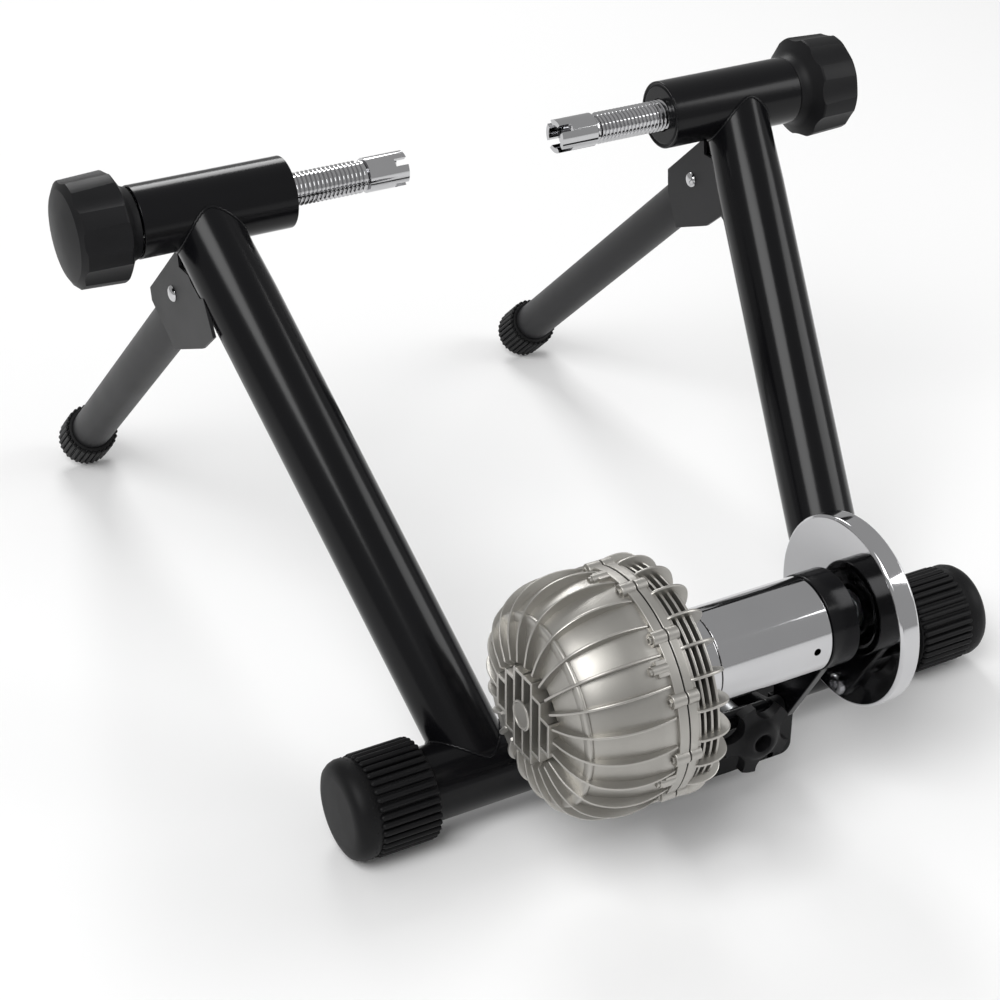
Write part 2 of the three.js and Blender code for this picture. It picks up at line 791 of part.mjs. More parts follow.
// Right half of the housing: a bowl with three ring fins crossed by paddle fins
function rightHalf() {
  const faceX = seamX + gasket / 2 + gap;
  const flange = discX(faceX, faceX + flangeWidth, seamRadius, housingSides);
  const bowl = finned(rightCoreProfile, rightFinProfile, housingFins);
  const rightEndX = rightCoreProfile[rightCoreProfile.length - 1][0];
  const rings = ringFinPlaces.map((x) =>
    discX(x - ringFinThickness / 2, x + ringFinThickness / 2, ringFinRadius, housingSides),
  );
  const cavity = discX(faceX - overrun, cavityRightX, cavityRadius - 2 * rollerWall, housingSides);
  const bore = discX(cavityRightX - overrun, rightEndX + overrun, shaftRadius + gap, smallSides);
  const bosses = seamBosses(faceX, faceX + seamBossRight);
  return cut(join(flange, bowl, ...rings, ...bosses), cavity, bore, ...boltHoles());
}

function seamGasket() {
  const half = gasket / 2;
  const outer = seamBoltCircle - seamBoltRadius - gasket;
  return sleeve([[seamX - half, outer], [seamX + half, outer]], cavityRadius + gap, housingSides);
}

function seamBolt(clock) {
  const from = seamX - gasket / 2 - gap - seamBossLeft - gap;
  return turned([
    [from - seamBoltHead, 0],
    [from - seamBoltHead, seamBoltHeadRadius],
    [from, seamBoltHeadRadius],
    [from, seamBoltRadius],
    [seamX + seamBoltReach, seamBoltRadius],
    [seamX + seamBoltReach, 0],
  ], boltSides).translate(0, ...seamCircle(clock));
}

// Roller, open at its hidden end, with a set screw's hole towards the front
function rollerShape() {
  const webX = rollerRightX - rollerWeb;
  const body = turned([
    [rollerLeftX, rollerRadius - rollerWall],
    [rollerLeftX, rollerRadius],
    [rollerRightX, rollerRadius],
    [rollerRightX, shaftRadius + gap],
    [rollerLeftX, shaftRadius + gap],
    [rollerLeftX, rollerHub],
    [webX, rollerHub],
    [webX, rollerRadius - rollerWall],
    [rollerLeftX, rollerRadius - rollerWall],
  ]);
  const hole = bar(
    new THREE.Vector3(setScrewX, -rollerRadius - overrun, 0),
    new THREE.Vector3(setScrewX, 0, 0),
    setScrewRadius + gap,
    boltSides,
  );
  return cut(body, hole);
}

function flywheelShape() {
  const backX = flywheelX + flywheelThickness;
  return turned([
    [flywheelX - flywheelHub, shaftRadius + gap],
    [flywheelX - flywheelHub, flywheelHubRadius],
    [flywheelX, flywheelHubRadius],
    [flywheelX, flywheelRadius - flywheelChamfer],
    [flywheelX + flywheelChamfer, flywheelRadius],
    [backX - flywheelChamfer, flywheelRadius],
    [backX, flywheelRadius - flywheelChamfer],
    [backX, flywheelDishRadius],
    [backX - flywheelDish, flywheelDishRadius - flywheelDish],
    [backX - flywheelDish, shaftRadius + gap],
    [flywheelX - flywheelHub, shaftRadius + gap],
  ], tubeSides + smallSides);
}

function impellerShape() {
  const bore = shaftRadius + gap;
  const disc = sleeve([[impellerX - impellerDisc, impellerRadius], [impellerX, impellerRadius]], bore);
  const hub = sleeve([[impellerX - impellerDisc, impellerHub], [impellerX + impellerBlade, impellerHub]], bore);
  const turn = (2 * Math.PI) / impellerBlades;
  const blades = Array.from({ length: impellerBlades }, (_, i) =>
    box(
      [impellerX - impellerDisc / 2, -finThickness / 2, impellerHub - gap],
      [impellerX + impellerBlade, finThickness / 2, impellerRadius - finThickness],
    ).rotateX(i * turn),
  );
  return join(disc, hub, ...blades);
}

function unitPieces() {
  const unit = groupAt(0, rollerY, rollerZ);
  const backX = flywheelX + flywheelThickness - flywheelDish;
  const add = (name, geometry, look) => piece(name, geometry, look, unit);
  add('unit_yoke', yokeShape(), glossBlack);
  add('right_bearing', bearing(housingEndX - bearingWidth, housingEndX), plainSteel);
  add('left_bearing', bearing(leftCheekX, leftCheekX + leftCheek), plainSteel);
  add('housing_left_half', leftHalf(), castMetal);
  add('housing_right_half', rightHalf(), castMetal);
  add('housing_gasket', seamGasket(), blackRubber);
  add('housing_end_button', discX(leftEndX - endButtonProud, leftEndX + endButton, endButtonRadius, 2 * smallSides), blackPlastic);
  seamClocks().forEach((clock, i) => add(`seam_bolt_${i + 1}`, seamBolt(clock), castMetal));
  add('roller', rollerShape(), chrome);
  const grubEnd = shaftRadius + gap;
  const grub = bar(
    new THREE.Vector3(setScrewX, -grubEnd - setScrewLength, 0),
    new THREE.Vector3(setScrewX, -grubEnd, 0),
    setScrewRadius,
    boltSides,
  );
  add('roller_set_screw', grub, plainSteel);
  add('shaft', discX(impellerX - impellerDisc, backX, shaftRadius, smallSides * 2), plainSteel);
  add('flywheel', flywheelShape(), chrome);
  add('flywheel_bolt', discX(backX + gap, backX + gap + boltHead, boltHeadRadius, 6), plainSteel);
  add('impeller', impellerShape(), blackPlastic);
}

// Bolt, nut and bushes of the yoke's pivot
function pivotPieces() {
  const line = groupAt(0, pivotY, pivotZ);
  const headX = rightCheekX + rightCheek + gap;
  const nutX = leftCheekX - gap;
  const bolt = turned([
    [nutX - pivotHead - gap, 0],
    [nutX - pivotHead - gap, pivotBoltRadius],
    [headX, pivotBoltRadius],
    [headX, pivotHeadRadius],
    [headX + pivotHead, pivotHeadRadius],
    [headX + pivotHead, 0],
  ], smallSides);
  piece('pivot_bolt', bolt, chrome, line);
  const bore = pivotBoltRadius + gap;
  piece('pivot_nut', sleeve([[nutX - pivotHead, pivotHeadRadius], [nutX, pivotHeadRadius]], bore, 6 * 2), chrome, line);
  const rightBush = sleeve([[earX + gap, pivotBushRadius], [rightCheekX - gap, pivotBushRadius]], bore, smallSides);
  const innerLeft = leftCheekX + leftCheek;
  const leftBush = sleeve([[innerLeft + gap, pivotBushRadius], [-earX - gap, pivotBushRadius]], bore, smallSides);
  piece('right_pivot_bush', rightBush, blackPlastic, line);
  piece('left_pivot_bush', leftBush, blackPlastic, line);
}

// Bracket welded to the base tube: two ears, the pivot's sleeve and the plate that the screw presses on
function unitBracket() {
  const outline = strap([pivotY, pivotZ], earRadius, [0, baseZ], earFootRadius);
  const ears = [plateX(outline, earX - earPlate, earX), plateX(outline, -earX, earPlate - earX)];
  const tube = discX(-earX, earX, sleeveRadius).translate(0, pivotY, pivotZ);
  const plate = box([gap - earX, padPlateFrontY, padPlateBottomZ], [earX - gap, padPlateFrontY + padPlate, padPlateTopZ]);
  const bracket = cut(
    join(...ears, tube, plate),
    discX(-baseEndX, baseEndX, baseRadius + gap).translate(0, 0, baseZ),
    discX(-earX - overrun, earX + overrun, pivotBoltRadius + gap, smallSides).translate(0, pivotY, pivotZ),
  );
  piece('unit_bracket', bracket, glossBlack);
}

// Star knob, its screw held by a collar in the yoke's tail, and the nut that it drives against the base bracket
function starOutline() {
  const period = (2 * Math.PI) / starLobes;
  return Array.from({ length: starLobes }, (_, lobe) =>
    starTipShares.map((share, step) => {
      const radius = starValleyRadius + (starTipRadius - starValleyRadius) * share;
      const angle = lobe * period + (period * (step + 1)) / starTipShares.length - Math.PI / 2 + period * starTipShare;
      return [radius * Math.cos(angle), radius * Math.sin(angle)];
    }),
  ).flat();
}

function tensionPieces() {
  const line = groupAt(screwX, 0, screwZ);
  const starBack = starFrontY + starThickness;
  const nutBack = tailFrontY + tailPlate + gap;
  const nutTip = padPlateFrontY - thrustRoom;
  const screwEnd = nutBack + thrustNutBase + thrustNutRadius / 2;
  const at = (y) => new THREE.Vector3(0, y, 0);
  const socket = bar(at(starFrontY + starPocket), at(starBack + overrun), screwRadius + gap, smallSides);
  const pocket = bar(at(starFrontY - overrun), at(starFrontY + starPocket - 2 * gap), starPocketRadius, smallSides);
  const hub = bar(at(starFrontY), at(starFrontY + starHub + gap), starHubRadius);
  const star = cut(join(plateY(starOutline(), starFrontY + starHub, starBack), hub), socket, pocket);
  piece('star_knob', star, blackPlastic, line);
  piece('tension_screw', bar(at(starFrontY + starPocket + gap), at(screwEnd), screwRadius, smallSides), plainSteel, line);
  const collarEnd = tailFrontY - gap;
  const ring = sleeve([[collarEnd - collar, collarRadius], [collarEnd, collarRadius]], screwRadius + gap, smallSides);
  piece('screw_collar', ring.rotateZ(Math.PI / 2), plainSteel, line);
  const steps = smallSides / 2;
  const dome = Array.from({ length: steps }, (_, i) => {
    const angle = (i * Math.PI) / 2 / steps;
    return [nutTip - thrustNutRadius * (1 - Math.sin(angle)), thrustNutRadius * Math.cos(angle)];
  });
  const nut = turned([[nutBack, 0], [nutBack, thrustNutRadius], ...dome, [nutTip, 0]], smallSides).rotateZ(Math.PI / 2);
  const bore = bar(at(nutBack - overrun), at(screwEnd + gap), screwRadius + gap, smallSides);
  piece('thrust_nut', cut(nut, bore), plainSteel, line);
}

baseTubeAndCaps();
for (const [name, side] of sides) {
  upright(name, side);
  clamp(name, side);
  legBracket(name, side);
  leg(name, side);
}
unitBracket();
pivotPieces();
unitPieces();
tensionPieces();

// The origin is on the floor, below the middle of the whole stand.
machine.updateMatrixWorld(true);
const extent = new THREE.Box3().setFromObject(machine, true);
const group = new THREE.Group();
machine.position.set(-(extent.min.x + extent.max.x) / 2, -(extent.min.y + extent.max.y) / 2, -extent.min.z);
group.add(machine);

export default group;
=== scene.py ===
import bmesh
import bpy
import math
from mathutils import Matrix, Vector


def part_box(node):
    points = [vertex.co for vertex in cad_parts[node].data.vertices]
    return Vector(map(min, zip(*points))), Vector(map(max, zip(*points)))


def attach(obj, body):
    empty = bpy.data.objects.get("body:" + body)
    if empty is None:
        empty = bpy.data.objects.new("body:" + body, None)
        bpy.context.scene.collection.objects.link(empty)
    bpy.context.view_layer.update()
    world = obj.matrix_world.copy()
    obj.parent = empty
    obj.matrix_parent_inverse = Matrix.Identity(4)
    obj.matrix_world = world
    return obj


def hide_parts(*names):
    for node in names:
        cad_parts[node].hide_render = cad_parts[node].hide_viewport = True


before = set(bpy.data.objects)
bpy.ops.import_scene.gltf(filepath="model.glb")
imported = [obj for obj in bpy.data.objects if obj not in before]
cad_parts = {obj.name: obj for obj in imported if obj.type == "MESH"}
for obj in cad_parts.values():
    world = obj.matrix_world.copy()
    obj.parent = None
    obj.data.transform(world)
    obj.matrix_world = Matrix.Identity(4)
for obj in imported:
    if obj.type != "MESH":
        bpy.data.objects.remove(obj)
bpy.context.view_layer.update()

low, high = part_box("base_tube")
# shapes are made in millimetres with the base tube on y = 0, then moved into the row's frame
toRow = Matrix.Translation((0, (low.y + high.y) / 2, 0)) @ Matrix.Scale(0.001, 4)
sides = (("left", -1), ("right", 1))


# finishes, each with two tones, a roughness range and a grain
finishes = {
    "glossPaint": dict(colour=(0.0022, 0.0022, 0.0026), second=(0.005, 0.005, 0.006), rough=(0.14, 0.22),
                       specular=0.2, grain=260, bump=0.01, slot="frame_paint"),
    "powderCoat": dict(colour=(0.013, 0.013, 0.014), second=(0.019, 0.019, 0.0205), rough=(0.38, 0.5),
                       specular=0.2, grain=1500, bump=0.09, slot="dark_satin"),
    "rubber": dict(colour=(0.0035, 0.0035, 0.004), second=(0.007, 0.007, 0.0075), rough=(0.42, 0.58),
                   specular=0.16, grain=1900, bump=0.12, slot="rubber"),
    "knobPlastic": dict(colour=(0.005, 0.005, 0.0055), second=(0.009, 0.009, 0.01), rough=(0.4, 0.52),
                        specular=0.16, grain=2300, bump=0.06, slot="knob_plastic"),
    "chrome": dict(colour=(0.6, 0.6, 0.61), second=(0.46, 0.46, 0.47), rough=(0.04, 0.09), metallic=1,
                   grain=420, bump=0.002, slot="chrome"),
    # castMetal lightens its rubbed edges as wear and darkens its hollows as painted shade
    "castMetal": dict(colour=(0.44, 0.428, 0.4), second=(0.34, 0.33, 0.31), rough=(0.34, 0.46),
                      metallic=0.92, grain=1400, bump=0.07, wearAndShade=0.45, slot="cast_housing"),
    "steel": dict(colour=(0.44, 0.45, 0.46), second=(0.3, 0.305, 0.31), rough=(0.26, 0.42), metallic=1,
                  grain=900, bump=0.03, slot="steel"),
    "impellerPlastic": dict(colour=(0.01, 0.01, 0.011), second=(0.018, 0.018, 0.019), rough=(0.45, 0.6),
                            specular=0.3, grain=1700, bump=0.08, slot="impeller_plastic"),
    # near black: painted shade for the shadowed cavity round the housing's right core
    "paintedShadeBlack": dict(colour=(0.0015, 0.0015, 0.0015), second=(0.004, 0.004, 0.004), rough=(0.7, 0.85),
                      specular=0.15, grain=1200, bump=0.05, slot="cast_housing"),
}
# the corner tone darkens hollows as painted shade; the edge tone lightens rubbed edges as wear
skin = dict(metallic=0, specular=0.5, patchSize=40, patchDetail=5, fineDetail=3, bumpDepth=0.001,
            shadedCorner=(0.44, (0.55, 0.54, 0.53, 1)), edge=(0.58, (1.35, 1.35, 1.35, 1)))


def makeFinish(name, look):
    finish = bpy.data.materials.new(name)
    finish.use_nodes = True
    nodes, links = finish.node_tree.nodes, finish.node_tree.links
    shader = nodes["Principled BSDF"]
    shader.inputs["Metallic"].default_value = look.get("metallic", skin["metallic"])
    shader.inputs["Specular IOR Level"].default_value = look.get("specular", skin["specular"])
    place = nodes.new("ShaderNodeTexCoord")
    patches = nodes.new("ShaderNodeTexNoise")  # broad, slow change of tone
    patches.inputs["Scale"].default_value = look["grain"] / skin["patchSize"]
    patches.inputs["Detail"].default_value = skin["patchDetail"]
    fine = nodes.new("ShaderNodeTexNoise")  # orange peel, powder or casting skin
    fine.inputs["Scale"].default_value = look["grain"]
    fine.inputs["Detail"].default_value = skin["fineDetail"]
    for texture in (patches, fine):
        links.new(place.outputs["Object"], texture.inputs["Vector"])
    tone = nodes.new("ShaderNodeMix")
    tone.data_type = "RGBA"
    tone.inputs["A"].default_value = (*look["colour"], 1)
    tone.inputs["B"].default_value = (*look["second"], 1)
    links.new(patches.outputs["Fac"], tone.inputs["Factor"])
    colour = tone.outputs["Result"]
    if look.get("wearAndShade"):  # edges rubbed lighter by wear, corners and hollows darkened as painted shade
        edges = nodes.new("ShaderNodeNewGeometry")
        ramp = nodes.new("ShaderNodeValToRGB")
        for stop, (at, shade) in zip(ramp.color_ramp.elements, (skin["shadedCorner"], skin["edge"])):
            stop.position, stop.color = at, shade
        rubAndShade = nodes.new("ShaderNodeMix")
        rubAndShade.data_type = "RGBA"
        rubAndShade.blend_type = "MULTIPLY"
        rubAndShade.inputs["Factor"].default_value = look["wearAndShade"]
        links.new(edges.outputs["Pointiness"], ramp.inputs["Fac"])
        links.new(colour, rubAndShade.inputs["A"])
        links.new(ramp.outputs["Color"], rubAndShade.inputs["B"])
        colour = rubAndShade.outputs["Result"]
    links.new(colour, shader.inputs["Base Color"])
    spread = nodes.new("ShaderNodeMapRange")
    spread.inputs["To Min"].default_value, spread.inputs["To Max"].default_value = look["rough"]
    links.new(patches.outputs["Fac"], spread.inputs["Value"])
    links.new(spread.outputs["Result"], shader.inputs["Roughness"])
    bump = nodes.new("ShaderNodeBump")
    bump.inputs["Strength"].default_value = look["bump"]
    bump.inputs["Distance"].default_value = skin["bumpDepth"]
    links.new(fine.outputs["Fac"], bump.inputs["Height"])
    links.new(bump.outputs["Normal"], shader.inputs["Normal"])
    return finish


materials = {name: makeFinish(name, look) for name, look in finishes.items()}
print("finishes made")


# mesh helpers, all in millimetres; doubles nearer than weld are merged
weld = 0.002


def turned(profile, steps=96, centre=(0, 0)):
    # a line of (x, radius) places, spun round a line along X
    bm = bmesh.new()
    closed = profile[0] == profile[-1]
    outline = profile[:-1] if closed else profile
    points = [bm.verts.new((x, centre[0], centre[1] + radius)) for x, radius in outline]
    pairs = list(zip(points, points[1:])) + ([(points[-1], points[0])] if closed else [])
    edges = [bm.edges.new(pair) for pair in pairs]
    bmesh.ops.spin(bm, geom=points + edges, cent=(0, *centre), axis=(1, 0, 0), dvec=(0, 0, 0),
                   angle=math.tau, steps=steps, use_merge=True)
    return tidy(bm)


def tidy(bm):
    bmesh.ops.remove_doubles(bm, verts=bm.verts, dist=weld)
    bmesh.ops.recalc_face_normals(bm, faces=bm.faces)
    return bm


def soften(bm, width, segments=3, over=30, only=None):
    edges = [edge for edge in bm.edges
             if edge.is_manifold and edge.calc_face_angle(0) > math.radians(over)
             and (only is None or only(edge))]
    bmesh.ops.bevel(bm, geom=edges, offset=width, offset_type="OFFSET", segments=segments, profile=0.5,
                    affect="EDGES", clamp_overlap=True, material=-1)
    return bm


def moved(bm, matrix):
    bmesh.ops.transform(bm, matrix=matrix, verts=bm.verts)
    return bm


def along(start, end):
    # turns the X axis onto the line from start to end
    start, end = Vector(start), Vector(end)
    way = Vector((1, 0, 0)).rotation_difference(end - start)
    return Matrix.Translation(start) @ way.to_matrix().to_4x4()


def together(*parts):
    whole = bmesh.new()
    for part in parts:
        mesh = bpy.data.meshes.new("part")
        part.to_mesh(mesh)
        part.free()
        whole.from_mesh(mesh)
        bpy.data.meshes.remove(mesh)
    return whole


def pushed(bm, face, step):
    made = bmesh.ops.extrude_face_region(bm, geom=[face])["geom"]
    verts = [item for item in made if isinstance(item, bmesh.types.BMVert)]
    bmesh.ops.translate(bm, verts=verts, vec=step)
    bmesh.ops.recalc_face_normals(bm, faces=bm.faces)
    return bm


def plate(outline, near, far):
    # an outline in y, z pushed along X
    bm = bmesh.new()
    face = bm.faces.new([bm.verts.new((near, a, b)) for a, b in outline])
    return pushed(bm, face, (far - near, 0, 0))


def block(low, high):
    bm = bmesh.new()
    bmesh.ops.create_cube(bm, size=1)
    middle = [(a + b) / 2 for a, b in zip(low, high)]
    size = [b - a for a, b in zip(low, high)]
    return moved(bm, Matrix.Translation(middle) @ Matrix.Diagonal((*size, 1)))


def circlePoints(centre, radius, start, end, steps):
    angles = [math.radians(start + (end - start) * i / steps) for i in range(steps + 1)]
    return [(centre[0] + radius * math.cos(angle), centre[1] + radius * math.sin(angle)) for angle in angles]


def strap(a, radiusA, b, radiusB, steps):
    # the outline round two discs
    dx, dy = b[0] - a[0], b[1] - a[1]
    way = math.degrees(math.atan2(dy, dx))
    lean = math.degrees(math.acos((radiusA - radiusB) / math.hypot(dx, dy)))
    return (circlePoints(a, radiusA, way + lean, way + 360 - lean, steps)
            + circlePoints(b, radiusB, way - lean, way + lean, steps))


def ringOf(bm, count, centre):
    bmesh.ops.spin(bm, geom=bm.verts[:] + bm.edges[:] + bm.faces[:], cent=(0, *centre), axis=(1, 0, 0),
                   dvec=(0, 0, 0), angle=math.tau * (count - 1) / count, steps=count - 1, use_duplicate=True)
    return bm


def clocked(bm, degrees, centre):
    # turned about a line along X; clock 0 is up and a rising clock goes to the front
    return moved(bm, Matrix.Translation((0, *centre)) @ Matrix.Rotation(math.radians(degrees), 4, "X")
                 @ Matrix.Translation((0, -centre[0], -centre[1])))


def carve(bm, tool, way="DIFFERENCE"):
    shapes = []
    for source in (bm, tool):
        mesh = bpy.data.meshes.new("carving")
        source.to_mesh(mesh)
        shapes.append(bpy.data.objects.new("carving", mesh))
        bpy.context.collection.objects.link(shapes[-1])
    cutter = shapes[0].modifiers.new("cut", "BOOLEAN")
    cutter.operation, cutter.solver, cutter.object = way, "EXACT", shapes[1]
    bpy.context.view_layer.update()
    carved = shapes[0].evaluated_get(bpy.context.evaluated_depsgraph_get())
    bm.clear()
    bm.from_mesh(carved.to_mesh())
    carved.to_mesh_clear()
    for shape in shapes:
        mesh = shape.data
        bpy.data.objects.remove(shape)
        bpy.data.meshes.remove(mesh)
    tool.free()


def finishPiece(bm, name, look, body, stands=(), sharp=38):
    bmesh.ops.remove_doubles(bm, verts=bm.verts, dist=weld)
    for face in bm.faces:
        face.smooth = True
    for edge in bm.edges:
        edge.smooth = edge.is_manifold and edge.calc_face_angle(0) < math.radians(sharp)
    moved(bm, toRow)
    mesh = bpy.data.meshes.new(name)
    bm.to_mesh(mesh)
    bm.free()
    mesh.materials.append(materials[look])
    piece = bpy.data.objects.new(name, mesh)
    bpy.context.collection.objects.link(piece)
    shading = piece.modifiers.new("even shading", "WEIGHTED_NORMAL")
    shading.keep_sharp = True
    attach(piece, body)
    if stands:
        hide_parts(*stands)


def mirrored(bm):
    moved(bm, Matrix.Scale(-1, 4, (1, 0, 0)))
    bmesh.ops.reverse_faces(bm, faces=bm.faces)
    return bm


def rod(radius, length, dome, steps, turn=0.3):
    # a bar along X from 0 to length with domed ends
    near = [(0, 0), (0, radius - dome), (dome * turn, radius - dome * turn), (dome, radius)]
    return turned(near + [(length - x, height) for x, height in reversed(near)], steps)


def bead(points, radius):
    # a weld bead along a closed loop of points
    curve = bpy.data.curves.new("bead", "CURVE")
    curve.dimensions = "3D"
    curve.bevel_depth = radius
    curve.bevel_resolution = 3
    line = curve.splines.new("POLY")
    line.points.add(len(points) - 1)
    for spot, point in zip(line.points, points):
        spot.co = (*point, 1)
    line.use_cyclic_u = True
    holder = bpy.data.objects.new("bead", curve)
    bpy.context.collection.objects.link(holder)
    bpy.context.view_layer.update()
    solid = bpy.data.meshes.new_from_object(holder.evaluated_get(bpy.context.evaluated_depsgraph_get()))
    bm = bmesh.new()
    bm.from_mesh(solid)
    bpy.data.objects.remove(holder)
    bpy.data.curves.remove(curve)
    bpy.data.meshes.remove(solid)
    return bm


def saddle(start, end, radius, otherY, otherZ, otherRadius, ripple=0.35, waves=0.7, steps=180):
    # where a tube from start to end meets a tube that lies along X
    start, end = Vector(start), Vector(end)
    way = (end - start).normalized()
    across = way.cross(Vector((1, 0, 0))).normalized()
    up = across.cross(way)
    points = []
    for i in range(steps):
        angle = math.tau * i / steps
        spot = start + radius * (math.cos(angle) * across + math.sin(angle) * up)
        y, z = spot.y - otherY, spot.z - otherZ
        a, b = way.y ** 2 + way.z ** 2, way.y * y + way.z * z
        c = y * y + z * z - otherRadius ** 2
        reach = (-b + math.sqrt(max(b * b - a * c, 0))) / a
        points.append(spot + way * (reach + ripple * math.sin(steps * waves * angle)))
    return points


# Base tube, end caps and uprights; profiles are (x, radius) places
stand = dict(baseZ=35, baseRound=0.5, footX=150, topX=217.2, axleY=273.7, axleZ=344.8,
             base=[(-249.2, 23.4), (-249.2, 25.4), (249.2, 25.4), (249.2, 23.4), (-249.2, 23.4)],
             uprightRadius=25, uprightStart=6, chamfer=3, taperStart=70, taperEnd=38, taperFlare=0.3,
             neckRadius=24, neckStop=5, beadRadius=1, footBead=(25.4, 25.7), topBead=(24.2, 25.3),
             cap=[(194.5, 25.7), (194.5, 30.6), (195.5, 31.6), (235.5, 31.6), (238.5, 33.4), (241.5, 34.2),
                  (245.5, 34.3), (249, 33.2), (251.8, 31.2), (253.4, 28), (254, 24), (254, 0), (249.5, 0),
                  (249.5, 25.7), (194.5, 25.7)],
             capRadius=35, ribs=36, ribStart=195.1, ribLength=43, ribRadius=2.15, ribDome=2.1, ribSteps=12,
             dotStart=241.1, dotLength=1.6, dotRadius=0.9, dotDome=0.7, dotDrop=1.4, dotSteps=8)


def makeStand(s):
    line = (0, s["baseZ"])
    tube = soften(turned(s["base"], 128, line), s["baseRound"])
    finishPiece(tube, "baseTube", "glossPaint", "frame", ["base_tube"])
    for name, side in sides:
        foot = (side * s["footX"], 0, s["baseZ"])
        top = (side * s["topX"], s["axleY"], s["axleZ"])
        length = (Vector(top) - Vector(foot)).length
        start, radius, neck = s["uprightStart"], s["uprightRadius"], s["neckRadius"]
        upright = turned([(start, 0), (start, radius - s["chamfer"]), (start + s["chamfer"], radius),
                          (length - s["taperStart"], radius),
                          (length - s["taperEnd"], neck + s["taperFlare"]),
                          (length - s["neckStop"], neck), (length - s["neckStop"], 0)], 128)
        moved(upright, along(foot, top))
        own, other = s["footBead"]
        footWeld = bead(saddle(foot, top, own, *line, other), s["beadRadius"])
        own, other = s["topBead"]
        topWeld = bead(saddle(top, foot, own, s["axleY"], s["axleZ"], other), s["beadRadius"])
        finishPiece(together(upright, footWeld, topWeld), name + "Upright", "glossPaint", "frame",
                    [name + "_upright"], sharp=60)

        height = s["baseZ"] + s["capRadius"]
        rib = rod(s["ribRadius"], s["ribLength"], s["ribDome"], s["ribSteps"])
        moved(rib, Matrix.Translation((s["ribStart"], 0, height - s["ribRadius"])))
        dot = rod(s["dotRadius"], s["dotLength"], s["dotDome"], s["dotSteps"])
        moved(dot, Matrix.Translation((s["dotStart"], 0, height - s["dotDrop"])))
        clocked(dot, 180 / s["ribs"], line)
        cap = together(turned(s["cap"], 144, line), ringOf(rib, s["ribs"], line),
                       ringOf(dot, s["ribs"], line))
        if side < 0:
            mirrored(cap)
        finishPiece(cap, name + "EndCap", "rubber", "frame", [name + "_end_cap"], sharp=50)


makeStand(stand)
print("stand made")

# Clamp tubes, threaded rods, cups and knobs, all on the wheel's axle line
clampSet = dict(tube=[(152.5, 12.2), (152.5, 21.5), (153.7, 22.5), (152.5, 23.4), (152.5, 25), (263, 25),
                      (263, 22.5), (157.5, 22.5), (157.5, 12.2), (152.5, 12.2)], tubeRound=0.6,
                bush=[(221, 11.9), (221, 22.2), (255, 22.2), (255, 11.9), (221, 11.9)], bushRound=0.7,
                core=[(80.4, 0), (80.4, 6.2), (81.2, 7), (84.4, 7), (84.4, 5), (92, 5), (92, 9.4),
                      (93.2, 10.6), (94.6, 10.2), (294, 10.2), (296, 8), (296, 0)],
                thread=dict(start=94, end=290, crest=11.6, root=10.1, pitch=3.2),
                cup=[(62, 8.6), (62, 12.3), (91.9, 12.3), (91.9, 5.3), (84.7, 5.3), (84.7, 8.6), (62, 8.6)],
                cupRound=0.55, notch=((54, -18.3, -2.8), (71.5, 18.3, 2.8)), notchTurns=(45, -45),
                knob=[(296.5, 0), (296.5, 11.9), (264, 11.9), (264, 23.7), (264.8, 24.5), (268.5, 25.8),
                      (271, 29), (276, 37.35), (277.2, 37.95), (306.5, 36.5), (309.7, 31), (312.1, 20),
                      (313.5, 8), (313.5, 0)],
                scoops=8, scoopClock=-11.3, scoopRadius=32, scoopReach=32, scoopX=288.25, scoopDepth=35.10375,
                scoopTilt=1.6, scoopRound=0.6, scoopInside=30)


def makeThread(t):
    crest, root, pitch = t["crest"], t["root"], t["pitch"]
    bm = bmesh.new()
    shape = [(0, root), (0.12, root), (0.42, crest), (0.58, crest), (0.88, root), (1, root)]
    points = [bm.verts.new((t["start"] + share * pitch, 0, radius)) for share, radius in shape]
    edges = [bm.edges.new(pair) for pair in zip(points, points[1:])]
    turns, steps = int((t["end"] - t["start"]) / pitch) - 1, 32
    bmesh.ops.spin(bm, geom=points + edges, cent=(0, 0, 0), axis=(1, 0, 0), dvec=(pitch / steps, 0, 0),
                   angle=math.tau * turns, steps=turns * steps, use_merge=False)
    return tidy(bm)


def makeKnob(c):
    body = turned(c["knob"], 192)
    reach, radius = c["scoopReach"], c["scoopRadius"]
    tilt = (Matrix.Translation((c["scoopX"], 0, c["scoopDepth"] + radius))
            @ Matrix.Rotation(math.radians(c["scoopTilt"]), 4, "Y"))
    for i in range(c["scoops"]):
        scoop = turned([(-reach, 0), (-reach, radius), (reach, radius), (reach, 0)], 128)
        carve(body, clocked(moved(scoop, tilt), c["scoopClock"] + i * 360 / c["scoops"], (0, 0)))
    return soften(body, c["scoopRound"], over=12,
                  only=lambda edge: edge.verts[0].co.yz.length > c["scoopInside"])


def makeClamps(c):
    line = Matrix.Translation((0, stand["axleY"], stand["axleZ"]))
    for name, side in sides:
        tube = soften(turned(c["tube"], 128), c["tubeRound"])
        bush = soften(turned(c["bush"]), c["bushRound"])
        screw = together(turned(c["core"], 64), makeThread(c["thread"]))
        cup = turned(c["cup"])
        for turn in c["notchTurns"]:
            carve(cup, moved(block(*c["notch"]), Matrix.Rotation(math.radians(turn), 4, "X")))
        soften(cup, c["cupRound"], over=35)
        shapes = ((tube, "ClampTube", "glossPaint", "frame", "_clamp_tube"),
                  (bush, "ThreadedBush", "steel", "frame", "_threaded_bush"),
                  (screw, "ClampRod", "chrome", name + "_screw", "_clamp_rod"),
                  (cup, "AxleCup", "chrome", name + "_cup", "_axle_cup"),
                  (makeKnob(c), "Knob", "knobPlastic", name + "_screw", "_knob"))
        for shape, title, look, body, node in shapes:
            if side < 0:
                mirrored(shape)
            finishPiece(moved(shape, line), name + title, look, body, [name + node], sharp=40)


makeClamps(clampSet)
print("clamps made")

